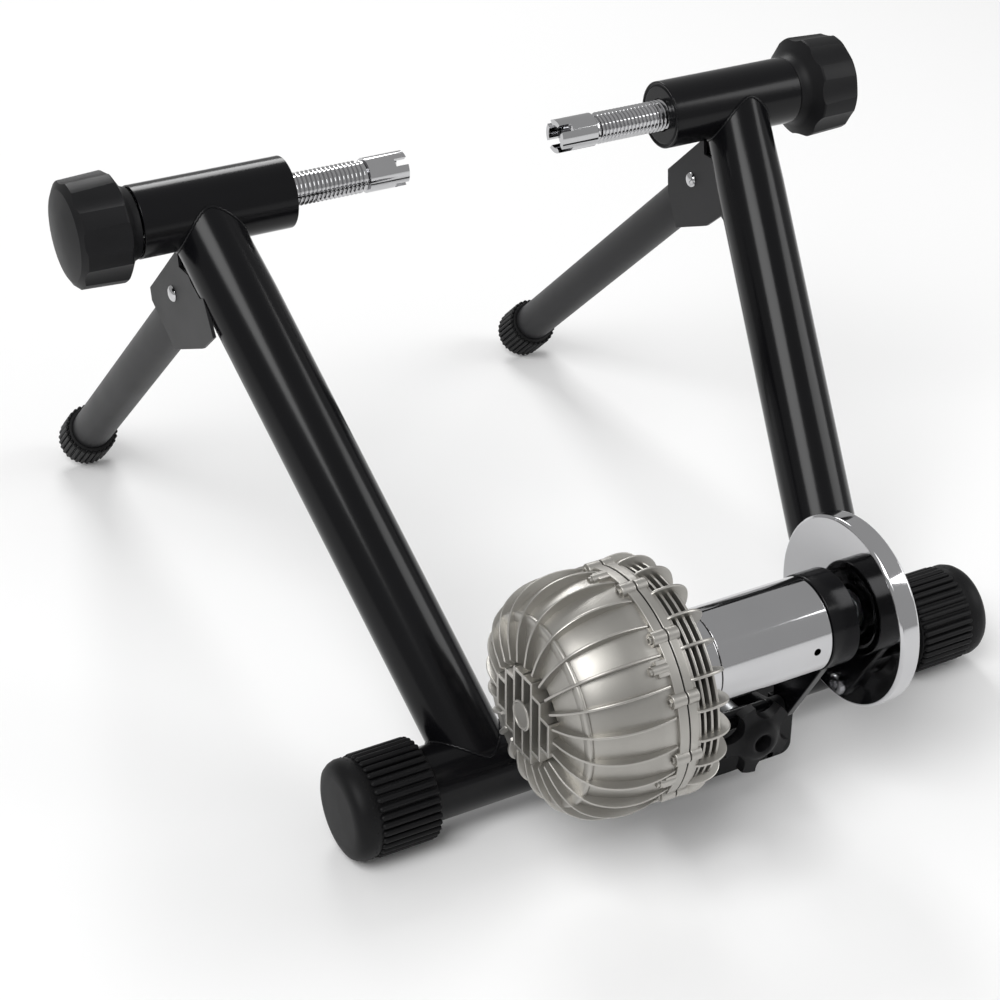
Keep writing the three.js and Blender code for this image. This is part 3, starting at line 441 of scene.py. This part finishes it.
# Leg brackets, pins, legs and feet; the foot's places run back from its sole
legSet = dict(x=213, y=289, z=280, slope=41.4, press=2, radius=16.5, back=-22.5, short=4.3, tubeRound=0.5,
              headBeyond=40, headFlare=0.3, headSide=18.5, headRound=0.7, holeReach=30, holeRadius=7.6,
              bush=[(-16.9, 5.3), (-16.9, 7.3), (16.9, 7.3), (16.9, 5.3), (-16.9, 5.3)], bushRound=0.3,
              foot=[(-36, 16.8), (-36, 18.8), (-35.2, 19.6), (-5, 19.6), (-2.4, 20.8), (-0.8, 19.4), (0, 17),
                    (0, 0), (-3.9, 0), (-3.9, 16.8), (-36, 16.8)],
              footRadius=22, ribs=30, ribStart=-35.7, ribLength=34, ribRadius=1.75, ribDome=1.7, ribSteps=12,
              pin=[(-22.6, 0), (-22.5, 2), (-22, 4), (-21.1, 5.4), (-20, 5.9), (-20, 5), (20, 5), (20, 5.9),
                   (21.1, 5.4), (22, 4), (22.5, 2), (22.6, 0)],
              bracketMerge=0.01, bracketFlat=1, bracketRound=0.7, bracketOver=25)


def fromNode(node, g):
    # a merged copy of a CAD solid with its edges rounded
    bm = bmesh.new()
    bm.from_mesh(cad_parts[node].data)
    moved(bm, toRow.inverted())
    bmesh.ops.remove_doubles(bm, verts=bm.verts, dist=g["bracketMerge"])
    bmesh.ops.dissolve_limit(bm, angle_limit=math.radians(g["bracketFlat"]), verts=bm.verts, edges=bm.edges)
    return soften(bm, g["bracketRound"], segments=2, over=g["bracketOver"])


def makeLegs(g):
    slope = math.radians(g["slope"])
    length = (g["z"] - g["footRadius"] * math.cos(slope)) / math.sin(slope) + g["press"]
    radius, reach, side = g["radius"], g["holeReach"], g["headSide"]
    toY = Matrix.Rotation(math.radians(90), 4, "Z")
    for name, way in sides:
        pivot = Matrix.Translation((way * g["x"], g["y"], g["z"]))
        place = pivot @ Matrix.Rotation(-slope, 4, "X")
        tube = turned([(g["back"], 0), (g["back"], radius), (length - g["short"], radius),
                       (length - g["short"], 0)])
        moved(soften(tube, g["tubeRound"]), toY)
        head = strap((0, 0), radius, (length + g["headBeyond"], 0), radius + g["headFlare"], 48)
        carve(tube, plate(head, -side, side), "INTERSECT")
        hole = g["holeRadius"]
        carve(tube, turned([(-reach, 0), (-reach, hole), (reach, hole), (reach, 0)], 48))
        soften(tube, g["headRound"], segments=2, over=40)
        finishPiece(moved(tube, place), name + "Leg", "powderCoat", name + "_leg", [name + "_leg"], sharp=35)
        bush = soften(turned(g["bush"], 48), g["bushRound"])
        finishPiece(moved(bush, place), name + "LegBush", "steel", name + "_leg", [name + "_leg_bush"])

        foot = turned([(length + x, height) for x, height in g["foot"]])
        rib = rod(g["ribRadius"], g["ribLength"], g["ribDome"], g["ribSteps"])
        moved(rib, Matrix.Translation((length + g["ribStart"], 0, g["footRadius"] - g["ribRadius"])))
        foot = together(foot, ringOf(rib, g["ribs"], (0, 0)))
        finishPiece(moved(moved(foot, toY), place), name + "Foot", "rubber", name + "_leg", [name + "_foot"],
                    sharp=50)

        bracket = fromNode(name + "_leg_bracket", g)
        finishPiece(bracket, name + "LegBracket", "powderCoat", "frame", [name + "_leg_bracket"], sharp=30)
        pin = moved(turned(g["pin"], 64), pivot)
        finishPiece(pin, name + "LegPin", "chrome", "frame", [name + "_leg_pin"], sharp=40)


makeLegs(legSet)
print("legs made")

# Roller, flywheel and what turns with them, on one shaft
axis = (-92.5, 142.7)
turning = dict(roller=[(-46.5, 27.4), (-46.5, 31.4), (36.9, 31.4), (36.9, 25), (35.4, 23.5), (35.4, 12),
                       (36.9, 11), (36.9, 6.3), (-46.5, 6.3), (-46.5, 12), (17.9, 12), (17.9, 27.4),
                       (-46.5, 27.4)], rollerRound=1.1,
               holeX=25, holeRadius=2.6, holeReach=35.4, holeRound=0.35, holeWidth=3.2, holeFront=-121,
               grub=[(0, 0), (0, 1.4), (-3, 1.4), (-3, 1.9), (-2.6, 2.2), (7, 2.2), (7, 0)], grubDepth=13.3,
               shaft=[(-131, 0), (-131, 6), (77.5, 6), (77.5, 0)], shaftRound=0.5,
               wheel=[(62.5, 6.3), (62.5, 14), (65.5, 15), (65.5, 62.8), (67.2, 64.5), (78.8, 64.5),
                      (80.5, 62.8), (80.5, 50), (77.5, 47), (77.5, 20), (78.1, 18.5), (78.1, 12), (77.5, 11),
                      (77.5, 6.3), (62.5, 6.3)], wheelRound=0.5,
               head=[(77.8, 0), (77.8, 9), (82.9, 9), (83.8, 7.6), (83.8, 4), (82, 3.6), (82, 0)],
               headRound=0.4,
               disc=[(-131, 6.3), (-131, 54), (-126, 54), (-126, 16), (-114, 15), (-114, 6.3), (-131, 6.3)],
               discRound=0.8, bladeX=(-128.5, -114), bladeHalf=1.2, bladeReach=(14, 52), blades=8,
               bladeRound=0.6)


def makeTurning(t):
    x, radius, reach = t["holeX"], t["holeRadius"], t["holeReach"]
    roller = soften(turned(t["roller"], 160, axis), t["rollerRound"])
    hole = turned([(0, 0), (0, radius), (reach, radius), (reach, 0)], 32)
    moved(hole, Matrix.Translation((x, *axis)) @ Matrix.Rotation(math.radians(-90), 4, "Z"))
    carve(roller, hole)
    soften(roller, t["holeRound"], segments=2, over=50,
           only=lambda edge: abs(edge.verts[0].co.x - x) < t["holeWidth"]
           and edge.verts[0].co.y < t["holeFront"])
    finishPiece(roller, "roller", "chrome", "turning_set", ["roller"], sharp=40)
    grub = turned(t["grub"], 24)
    moved(grub, Matrix.Translation((x, axis[0] - t["grubDepth"], axis[1]))
          @ Matrix.Rotation(math.radians(90), 4, "Z"))
    finishPiece(grub, "rollerSetScrew", "steel", "turning_set", ["roller_set_screw"])
    shaft = soften(turned(t["shaft"], 64, axis), t["shaftRound"])
    finishPiece(shaft, "shaft", "steel", "turning_set", ["shaft"])
    wheel = soften(turned(t["wheel"], 192, axis), t["wheelRound"], segments=2, over=25)
    finishPiece(wheel, "flywheel", "chrome", "turning_set", ["flywheel"], sharp=30)
    head = soften(turned(t["head"], 6, axis), t["headRound"], segments=2)
    finishPiece(head, "flywheelBolt", "steel", "turning_set", ["flywheel_bolt"])
    half, (inner, outer) = t["bladeHalf"], t["bladeReach"]
    disc = turned(t["disc"], 96, axis)
    blade = block((t["bladeX"][0], axis[0] - half, axis[1] + inner),
                  (t["bladeX"][1], axis[0] + half, axis[1] + outer))
    soften(blade, t["bladeRound"], segments=2)
    fan = together(soften(disc, t["discRound"]), ringOf(blade, t["blades"], axis))
    finishPiece(fan, "impeller", "impellerPlastic", "turning_set", ["impeller"])


makeTurning(turning)
print("turning set made")

# Finned housing of the resistance unit
housing = dict(seamX=-99.6, seamGap=0.45, seamStart=0.6, fins=24, finClock=14, finWidth=1.9, finSink=3,
               finRoundShare=0.36, onOutline=0.01,
               leftCore=[(-114, 73.4), (-126, 73), (-134, 71.4), (-142, 69), (-150, 65.8), (-157, 61.4),
                         (-160.4, 57), (-162, 50), (-163, 44), (-164, 33)], coreStart=73,
               coreEnd=[(0, -1.5), (1, -2.4)], coreDeep=-2.8,
               leftFin=[(-106.8, 74.6), (-111, 75.7), (-118, 77), (-128, 77.6), (-138, 76.5), (-146, 74.2),
                        (-153, 70.6), (-159.5, 65.6), (-164.5, 57.6), (-168, 48), (-170, 34)],
               shoulder=[(-160.6, 54), (-160.9, 59.6), (-160.1, 61.4), (-158.8, 61.9), (-157.4, 61.4),
                         (-157.4, 54), (-160.6, 54)], shoulderRound=0.4,
               bandRadius=75.8, bandInside=70, bandLeft=-106.6, bandRight=-93.6, bandStep=(-91, 74.6),
               bandRound=0.7, bolts=12, boltClock=6, boltCircle=73.45, bossRadius=4.85, bossLeft=-109.6,
               bossRight=-91.5, bossRound=0.7,
               stub=[(-118.6, 0), (-118.6, 2.4), (-116.8, 2.4), (-116.8, 3.3), (-106, 3.3), (-106, 0)],
               stubRound=0.3, stubClocks=(50, 110, 170, 230, 290, 350), seatX=(-113.5, -105.5), seatHalf=5.2,
               seatReach=(71, 75.4), seatRound=0.6,
               faceX=-171.3, deepX=-157, ribPitch=10.2, ribHalf=1.1, ribRound=0.45,
               reaches=(29.5, 29.5, 21.5, 12),
               barDepth=2.6, barBack=0.2, barOverlap=0.6, barRound=0.4,
               rightCore=[(-97, 72.6), (-91, 71), (-89.5, 60), (-77, 55), (-76, 40), (-70, 26), (-60, 24),
                          (-52.3, 23)],
               neck=[(-70, 27), (-70, 31.3), (-47.1, 31.3), (-47.1, 25), (-60, 24.5), (-70, 27)],
               neckRound=0.5,
               rings=(-87, -82.2, -77.4), ringInside=54, ringRadius=73, ringHalf=0.95, ringRound=0.6,
               paddle=[(-96, 74), (-93, 76.6), (-88, 77.6), (-82, 77.8), (-77, 77.2), (-72.5, 75.4),
                       (-69, 72.6), (-66.8, 69), (-65.6, 64), (-65.4, 58), (-67, 50)],
               paddleRoot=[(-92, 62), (-80, 54), (-70, 46)], paddleWidth=2,
               gasket=[(-0.5, 60), (-0.5, 75.1), (0.5, 75.1), (0.5, 60), (-0.5, 60)],
               button=[(-164, 0), (-164, 8.5), (-170.6, 8.5), (-170.8, 10), (-172.1, 10), (-172.75, 9.1),
                       (-172.6, 8.1), (-172.1, 7.9), (-172.1, 0)], buttonRound=0.2,
               bolt=[(-109.9, 0), (-109.9, 1.4), (-110.9, 1.4), (-110.9, 2.9), (-109.5, 2.9), (-109.5, 0)],
               boltRound=0.3)


def finShape(h, outer, inner, width):
    # one thin fin, standing up over the axis, rounded along its outer outline
    outline = [(x, radius) for x, radius in outer] + [(x, radius) for x, radius in reversed(inner)]
    bm = bmesh.new()
    face = bm.faces.new([bm.verts.new((x, axis[0] - width / 2, axis[1] + radius)) for x, radius in outline])
    pushed(bm, face, (0, width, 0))
    keep = [Vector(place) for place in outer]

    def onOuter(vert):
        spot = Vector((vert.co.x, vert.co.z - axis[1]))
        return min((spot - place).length for place in keep) < h["onOutline"]

    return soften(bm, width * h["finRoundShare"], segments=2, over=60,
                  only=lambda edge: all(onOuter(vert) for vert in edge.verts))


def smoothLine(points):
    # corner cutting turns a coarse outline into a fair curve
    cut = [points[0]]
    for (ax, ar), (bx, br) in zip(points, points[1:]):
        cut += [(ax + (bx - ax) * share, ar + (br - ar) * share) for share in (0.25, 0.75)]
    return cut + [points[-1]]


def makeEndFrame(h):
    # upright ribs stepped round the end's middle, with a bar across their tips
    parts = []
    face, deep, pitch, half = h["faceX"], h["deepX"], h["ribPitch"], h["ribHalf"]
    last = len(h["reaches"]) - 1
    for i in range(-last, last + 1):
        high = h["reaches"][abs(i)]
        rib = block((face, axis[0] + i * pitch - half, axis[1] - high),
                    (deep, axis[0] + i * pitch + half, axis[1] + high))
        parts.append(soften(rib, h["ribRound"], segments=2))
    over = half * h["barOverlap"]
    for i, high in enumerate(h["reaches"][1:]):
        for way in (-1, 1):
            for up in (-1, 1):
                ends = sorted((axis[0] + way * i * pitch, axis[0] + way * (i + 1) * pitch))
                span = sorted((axis[1] + up * high, axis[1] + up * (high - h["barDepth"])))
                bar = block((face + h["barBack"], ends[0] - over, span[0]), (deep, ends[1] + over, span[1]))
                parts.append(soften(bar, h["barRound"], segments=2))
    return parts


def makeBosses(h, start, end):
    radius = h["bossRadius"]
    boss = turned([(start, 0), (start, radius), (end, radius), (end, 0)], 32,
                  (axis[0], axis[1] + h["boltCircle"]))
    return ringOf(clocked(soften(boss, h["bossRound"]), h["boltClock"], axis), h["bolts"], axis)


def makeLeftHalf(h):
    seam, inside, rim = h["seamX"], h["bandInside"], h["bandRadius"]
    core = smoothLine(h["leftCore"])
    endX, endRadius = core[-1]
    closing = [(endX + x, endRadius + radius) for x, radius in h["coreEnd"]]
    bowl = turned([(seam - h["seamStart"], 0), (seam - h["seamStart"], h["coreStart"])] + core + closing
                  + [(h["deepX"], endRadius + h["coreDeep"]), (h["deepX"], 0)], 144, axis)
    root = [(x, radius - h["finSink"]) for x, radius in h["leftCore"]]
    fins = ringOf(clocked(finShape(h, smoothLine(h["leftFin"]), root, h["finWidth"]), h["finClock"], axis),
                  h["fins"], axis)
    band = turned([(h["bandLeft"], inside), (h["bandLeft"], rim), (seam - h["seamGap"], rim),
                   (seam - h["seamGap"], inside), (h["bandLeft"], inside)], 144, axis)
    shoulder = turned(h["shoulder"], 144, axis)
    bosses = makeBosses(h, h["bossLeft"], seam - h["seamGap"])
    stubs = []
    half, (inner, outer) = h["seatHalf"], h["seatReach"]
    for clock in h["stubClocks"]:
        stub = turned(h["stub"], 24, (axis[0], axis[1] + h["boltCircle"]))
        stubs.append(clocked(soften(stub, h["stubRound"], segments=2), clock, axis))
        seat = block((h["seatX"][0], axis[0] - half, axis[1] + inner),
                     (h["seatX"][1], axis[0] + half, axis[1] + outer))
        stubs.append(clocked(soften(seat, h["seatRound"], segments=2), clock, axis))
    soften(band, h["bandRound"])
    soften(shoulder, h["shoulderRound"], segments=2)
    left = together(bowl, fins, band, shoulder, bosses, *stubs, *makeEndFrame(h))
    finishPiece(left, "housingLeftHalf", "castMetal", "resistance_unit", ["housing_left_half"], sharp=40)


def makeRightHalf(h):
    seam, inside, rim, step = h["seamX"], h["bandInside"], h["bandRadius"], h["bandStep"]
    core = turned([(h["rightCore"][0][0], 0)] + h["rightCore"] + [(h["rightCore"][-1][0], 0)], 144, axis)
    # the right core is coloured near black as painted shade for the shadowed gap behind the paddles
    finishPiece(core, "housingRightCore", "paintedShadeBlack", "resistance_unit", [], sharp=30)
    # bright neck between the finned half and the roller
    neck = soften(turned(h["neck"], 144, axis), h["neckRound"], segments=2)
    finishPiece(neck, "housingNeck", "chrome", "resistance_unit", [], sharp=40)
    band = turned([(seam + h["seamGap"], inside), (seam + h["seamGap"], rim), (h["bandRight"], rim),
                   (h["bandRight"], step[1]), step, (step[0], inside), (seam + h["seamGap"], inside)],
                  144, axis)
    bosses = makeBosses(h, seam + h["seamGap"], h["bossRight"])
    half, inner, outer = h["ringHalf"], h["ringInside"], h["ringRadius"]
    rings = []
    for x in h["rings"]:
        ring = turned([(x - half, inner), (x - half, outer), (x + half, outer), (x + half, inner),
                       (x - half, inner)], 144, axis)
        rings.append(soften(ring, h["ringRound"], segments=2))
    paddle = finShape(h, smoothLine(h["paddle"]), h["paddleRoot"], h["paddleWidth"])
    paddles = ringOf(clocked(paddle, h["finClock"], axis), h["fins"], axis)
    right = together(soften(band, h["bandRound"]), bosses, *rings, paddles)
    finishPiece(right, "housingRightHalf", "castMetal", "resistance_unit", ["housing_right_half"], sharp=40)


def makeHousing(h):
    makeLeftHalf(h)
    makeRightHalf(h)
    packing = turned([(h["seamX"] + x, radius) for x, radius in h["gasket"]], 144, axis)
    finishPiece(packing, "housingGasket", "rubber", "resistance_unit", ["housing_gasket"])
    button = soften(turned(h["button"], 96, axis), h["buttonRound"], segments=2, over=40)
    finishPiece(button, "housingEndButton", "castMetal", "resistance_unit", ["housing_end_button"], sharp=30)
    for i in range(h["bolts"]):
        bolt = turned(h["bolt"], 6, (axis[0], axis[1] + h["boltCircle"]))
        soften(bolt, h["boltRound"], segments=2)
        finishPiece(clocked(bolt, h["boltClock"] + i * 360 / h["bolts"], axis), "seamBolt" + str(i + 1),
                    "castMetal", "resistance_unit", ["seam_bolt_" + str(i + 1)])


makeHousing(housing)
print("housing made")

# Yoke that carries the unit, its pivot and the bracket on the base tube
yoke = dict(house=[(37.4, 0), (37.4, 32.2), (57.5, 32.2), (57.5, 27), (56, 26), (56, 18), (57.5, 17),
                   (57.5, 13.3), (48.2, 13.3), (48.2, 8), (37.4, 8), (37.4, 0)], houseRound=1.6,
            cheeks=(((38.2, 44.2), 30), ((-51.8, -47.5), 23)), cheekRound=0.9, pivot=(-73.2, 67.1),
            pivotRadius=9, webSink=0.05, webRise=6, webRound=0.7, tailX=(-51.8, 44.2), tailY=(-62.5, -58.5),
            tailZ=(14, 45), tailRound=0.8, lugX=(38.2, 58), lugTop=54, lugCorner=8, lugCut=(50, 30),
            tabX=(-0.5, 23.5), tabTop=64, tabCorner=4, plateSpan=2, plateRound=0.7,
            bearings=(("right", (48.5, 57.4), (29.8, 37.9)), ("left", (-51.8, -47.5), (-47.2, -29.8))),
            race=[(0, 13), (0, 11), (-0.7, 10.8), (-0.7, 8.2), (0, 8), (0, 6.3)],
            raceInside=(9.6, 13, 6.3), raceRound=0.25, bushRadii=(4.3, 6.5), bushRound=0.4,
            bolt=[(-56.9, 0), (-56.9, 3.4), (-56.3, 4), (44.5, 4), (44.5, 7.2), (45.1, 7.5), (47.6, 7.5),
                  (48.7, 6.7), (49, 5.4), (49, 3.6), (46.4, 3.2), (46.4, 0)], boltRound=0.2,
            nut=[(-56.6, 4.3), (-56.6, 6.4), (-56, 7.5), (-52.1, 7.5), (-52.1, 4.3), (-56.6, 4.3)],
            nutRound=0.3, ears=((25.5, 29.5), (-29.5, -25.5)), earTop=7, earFoot=20, earRound=0.7,
            spacer=[(-29, 4.3), (-29, 6.4), (29, 6.4), (29, 4.3), (-29, 4.3)],
            front=((-29.2, -38, 26), (29.2, -34, 62)), frontRound=0.8)


def acrossPlate(edge):
    return abs(edge.verts[0].co.y - edge.verts[1].co.y) > yoke["plateSpan"]


def makeYoke(k):
    pivot, sink, (front, back) = k["pivot"], k["webSink"], k["tailY"]
    bottom, top = k["tailZ"]
    parts = [soften(turned(k["house"], 160, axis), k["houseRound"], segments=4)]
    for (near, far), hub in k["cheeks"]:
        parts.append(soften(plate(strap(axis, hub, pivot, k["pivotRadius"], 48), near, far), k["cheekRound"]))
        web = block((near + sink, front - sink, bottom + k["webRise"]), (far - sink, back, pivot[1]))
        parts.append(soften(web, k["webRound"], segments=2))
    tail = block((k["tailX"][0], front, bottom), (k["tailX"][1], back, top))
    parts.append(soften(tail, k["tailRound"]))
    lug = block((k["lugX"][0], front, bottom), (k["lugX"][1], back, k["lugTop"]))
    cutX, cutZ = k["lugCut"]
    soften(lug, k["lugCorner"], segments=8, only=lambda edge: acrossPlate(edge)
           and edge.verts[0].co.x > cutX and edge.verts[0].co.z < cutZ)
    parts.append(soften(lug, k["plateRound"], segments=2))
    tab = block((k["tabX"][0], front - sink, bottom), (k["tabX"][1], back, k["tabTop"]))
    soften(tab, k["tabCorner"], segments=5, only=acrossPlate)
    parts.append(soften(tab, k["plateRound"], segments=2))
    finishPiece(together(*parts), "unitYoke", "glossPaint", "resistance_unit", ["unit_yoke"], sharp=34)


def makeBearings(k):
    seat, rim, bore = k["raceInside"]
    inner, outer = k["bushRadii"]
    for name, (start, end), (left, right) in k["bearings"]:
        race = turned([(start, seat), (start, rim)] + [(end + x, radius) for x, radius in k["race"]]
                      + [(start, bore), (start, seat)], 96, axis)
        finishPiece(soften(race, k["raceRound"], segments=2), name + "Bearing", "steel", "resistance_unit",
                    [name + "_bearing"])
        bush = turned([(left, inner), (left, outer), (right, outer), (right, inner), (left, inner)], 48,
                      k["pivot"])
        finishPiece(soften(bush, k["bushRound"], segments=2), name + "PivotBush", "knobPlastic",
                    "resistance_unit", [name + "_pivot_bush"])


def makeUnitBracket(k):
    bolt = soften(turned(k["bolt"], 64, k["pivot"]), k["boltRound"], segments=2, over=40)
    finishPiece(bolt, "pivotBolt", "chrome", "frame", ["pivot_bolt"])
    nut = soften(turned(k["nut"], 6, k["pivot"]), k["nutRound"], segments=2)
    finishPiece(nut, "pivotNut", "chrome", "frame", ["pivot_nut"])
    parts = []
    for near, far in k["ears"]:
        ear = plate(strap(k["pivot"], k["earTop"], (0, stand["baseZ"]), k["earFoot"], 32), near, far)
        parts.append(soften(ear, k["earRound"], segments=2))
    parts.append(turned(k["spacer"], 64, k["pivot"]))
    parts.append(soften(block(*k["front"]), k["frontRound"], segments=2))
    finishPiece(together(*parts), "unitBracket", "glossPaint", "frame", ["unit_bracket"], sharp=34)


makeYoke(yoke)
makeBearings(yoke)
makeUnitBracket(yoke)
print("yoke made")

# Star knob, its screw, the collar and the domed nut that it drives; places run back from the knob's front
star = dict(x=11.5, z=56.5, front=-93.5,
            knob=[(8.4, 0), (8.2, 4.5), (1.8, 6.1), (0.6, 6.6), (0, 7.7), (0.1, 9.2), (0.8, 11.2),
                  (2.4, 13.2), (4.4, 14.8), (5.3, 17), (5.7, 20), (6.2, 26), (13, 26), (13, 3.8), (8.6, 3.8)],
            lobes=5, clock=14.5, valley=16.5, scoop=10.5, scoopX=(-4, 20), scoopFlare=0.5,
            lobeRound=3, lobeOver=60, lobeSpan=4, lobeInside=20, rimRound=1.6, rimOver=45, rimX=(4.4, 7.5),
            rimInside=15, screw=[(8.7, 0), (8.7, 3.3), (44, 3.3), (46.5, 3.3), (46.8, 0)],
            thread=dict(start=34, end=46, crest=3.5, root=2.9, pitch=1.75),
            collar=[(27.7, 3.8), (27.7, 6), (30.7, 6), (30.7, 3.8), (27.7, 3.8)], collarRound=0.4,
            nutBack=[(35.3, 3.8), (35.3, 6.6), (35.7, 7), (46.9, 7)], domeX=46.9, domeRadius=7,
            domeTurns=(0.2, 0.4, 0.6, 0.8, 1, 1.2, 1.4),
            nutFront=[(53.9, 0), (47.2, 0), (47.2, 3.8), (35.3, 3.8)])


def makeTension(t):
    place = along((t["x"], t["front"], t["z"]), (t["x"], t["front"] + 1, t["z"]))
    knob = turned(t["knob"], 128)
    (start, end), scoop = t["scoopX"], t["scoop"]
    for i in range(t["lobes"]):
        cutter = turned([(start, 0), (start, scoop + t["scoopFlare"]), (end, scoop), (end, 0)], 64)
        moved(cutter, Matrix.Translation((0, 0, t["valley"] + scoop)))
        carve(knob, clocked(cutter, t["clock"] + i * 360 / t["lobes"], (0, 0)))
    soften(knob, t["lobeRound"], segments=5, over=t["lobeOver"],
           only=lambda edge: abs(edge.verts[0].co.x - edge.verts[1].co.x) > t["lobeSpan"]
           and edge.verts[0].co.yz.length > t["lobeInside"])
    near, far = t["rimX"]
    soften(knob, t["rimRound"], segments=4, over=t["rimOver"],
           only=lambda edge: near < edge.verts[0].co.x < far and edge.verts[0].co.yz.length > t["rimInside"])
    finishPiece(moved(knob, place), "starKnob", "knobPlastic", "star_screw", ["star_knob"], sharp=36)
    screw = together(turned(t["screw"], 32), makeThread(t["thread"]))
    finishPiece(moved(screw, place), "tensionScrew", "steel", "star_screw", ["tension_screw"])
    collar = soften(turned(t["collar"], 48), t["collarRound"], segments=2)
    finishPiece(moved(collar, place), "screwCollar", "steel", "star_screw", ["screw_collar"])
    radius = t["domeRadius"]
    dome = [(t["domeX"] + radius * math.sin(turn), radius * math.cos(turn)) for turn in t["domeTurns"]]
    nut = turned(t["nutBack"] + dome + t["nutFront"], 64)
    finishPiece(moved(nut, place), "thrustNut", "steel", "thrust_nut", ["thrust_nut"])


makeTension(star)
print("tension pieces made")

# Floor, light and camera
studio = dict(world=0.45, floorSize=6, floorTone=0.86, floorRough=0.85, aim=(0, -0.05, 0.15),
              lamps=(("key", 56, 1.6, (-1.6, -1.2, 2.4)), ("fill", 26, 1.4, (2.2, -1.4, 1.6)),
                     ("rim", 36, 1.2, (0.6, 2.4, 2.2))),
              lens=81.2, sensor=36, spot=(-0.72394, -1.27127, 0.94173),
              way=(0.4206, 0.7540, -0.5045), roll=0.15)


def makeFloor(s):
    floor = bmesh.new()
    bmesh.ops.create_grid(floor, x_segments=1, y_segments=1, size=s["floorSize"])
    mesh = bpy.data.meshes.new("floor")
    floor.to_mesh(mesh)
    floor.free()
    ground = bpy.data.objects.new("floor", mesh)
    bpy.context.scene.collection.objects.link(ground)
    pale = bpy.data.materials.new("paleFloor")
    pale.use_nodes = True
    shader = pale.node_tree.nodes["Principled BSDF"]
    shader.inputs["Base Color"].default_value = (s["floorTone"],) * 3 + (1,)
    shader.inputs["Roughness"].default_value = s["floorRough"]
    mesh.materials.append(pale)


def makeLights(s):
    scene = bpy.context.scene
    world = bpy.data.worlds.new("studio")
    world.use_nodes = True
    sky = world.node_tree.nodes["Background"]
    sky.inputs["Color"].default_value = (1, 1, 1, 1)
    sky.inputs["Strength"].default_value = s["world"]
    scene.world = world
    for name, power, size, spot in s["lamps"]:
        lamp = bpy.data.lights.new(name, "AREA")
        lamp.energy, lamp.size = power, size
        holder = bpy.data.objects.new(name, lamp)
        scene.collection.objects.link(holder)
        holder.location = spot
        holder.rotation_euler = (Vector(s["aim"]) - Vector(spot)).to_track_quat("-Z", "Y").to_euler()


def makeCamera(s):
    scene = bpy.context.scene
    scene.view_settings.view_transform = "Standard"
    lens = bpy.data.cameras.new("camera")
    lens.lens, lens.sensor_width = s["lens"], s["sensor"]
    camera = bpy.data.objects.new("camera", lens)
    scene.collection.objects.link(camera)
    way = Vector(s["way"]).normalized()
    right = way.cross(Vector((0, 0, 1))).normalized()
    up = right.cross(way)
    turn = math.radians(s["roll"])
    right, up = right * math.cos(turn) + up * math.sin(turn), up * math.cos(turn) - right * math.sin(turn)
    camera.matrix_world = Matrix.Translation(s["spot"]) @ Matrix((right, up, -way)).transposed().to_4x4()
    scene.camera = camera


makeFloor(studio)
makeLights(studio)
makeCamera(studio)
print("studio made")
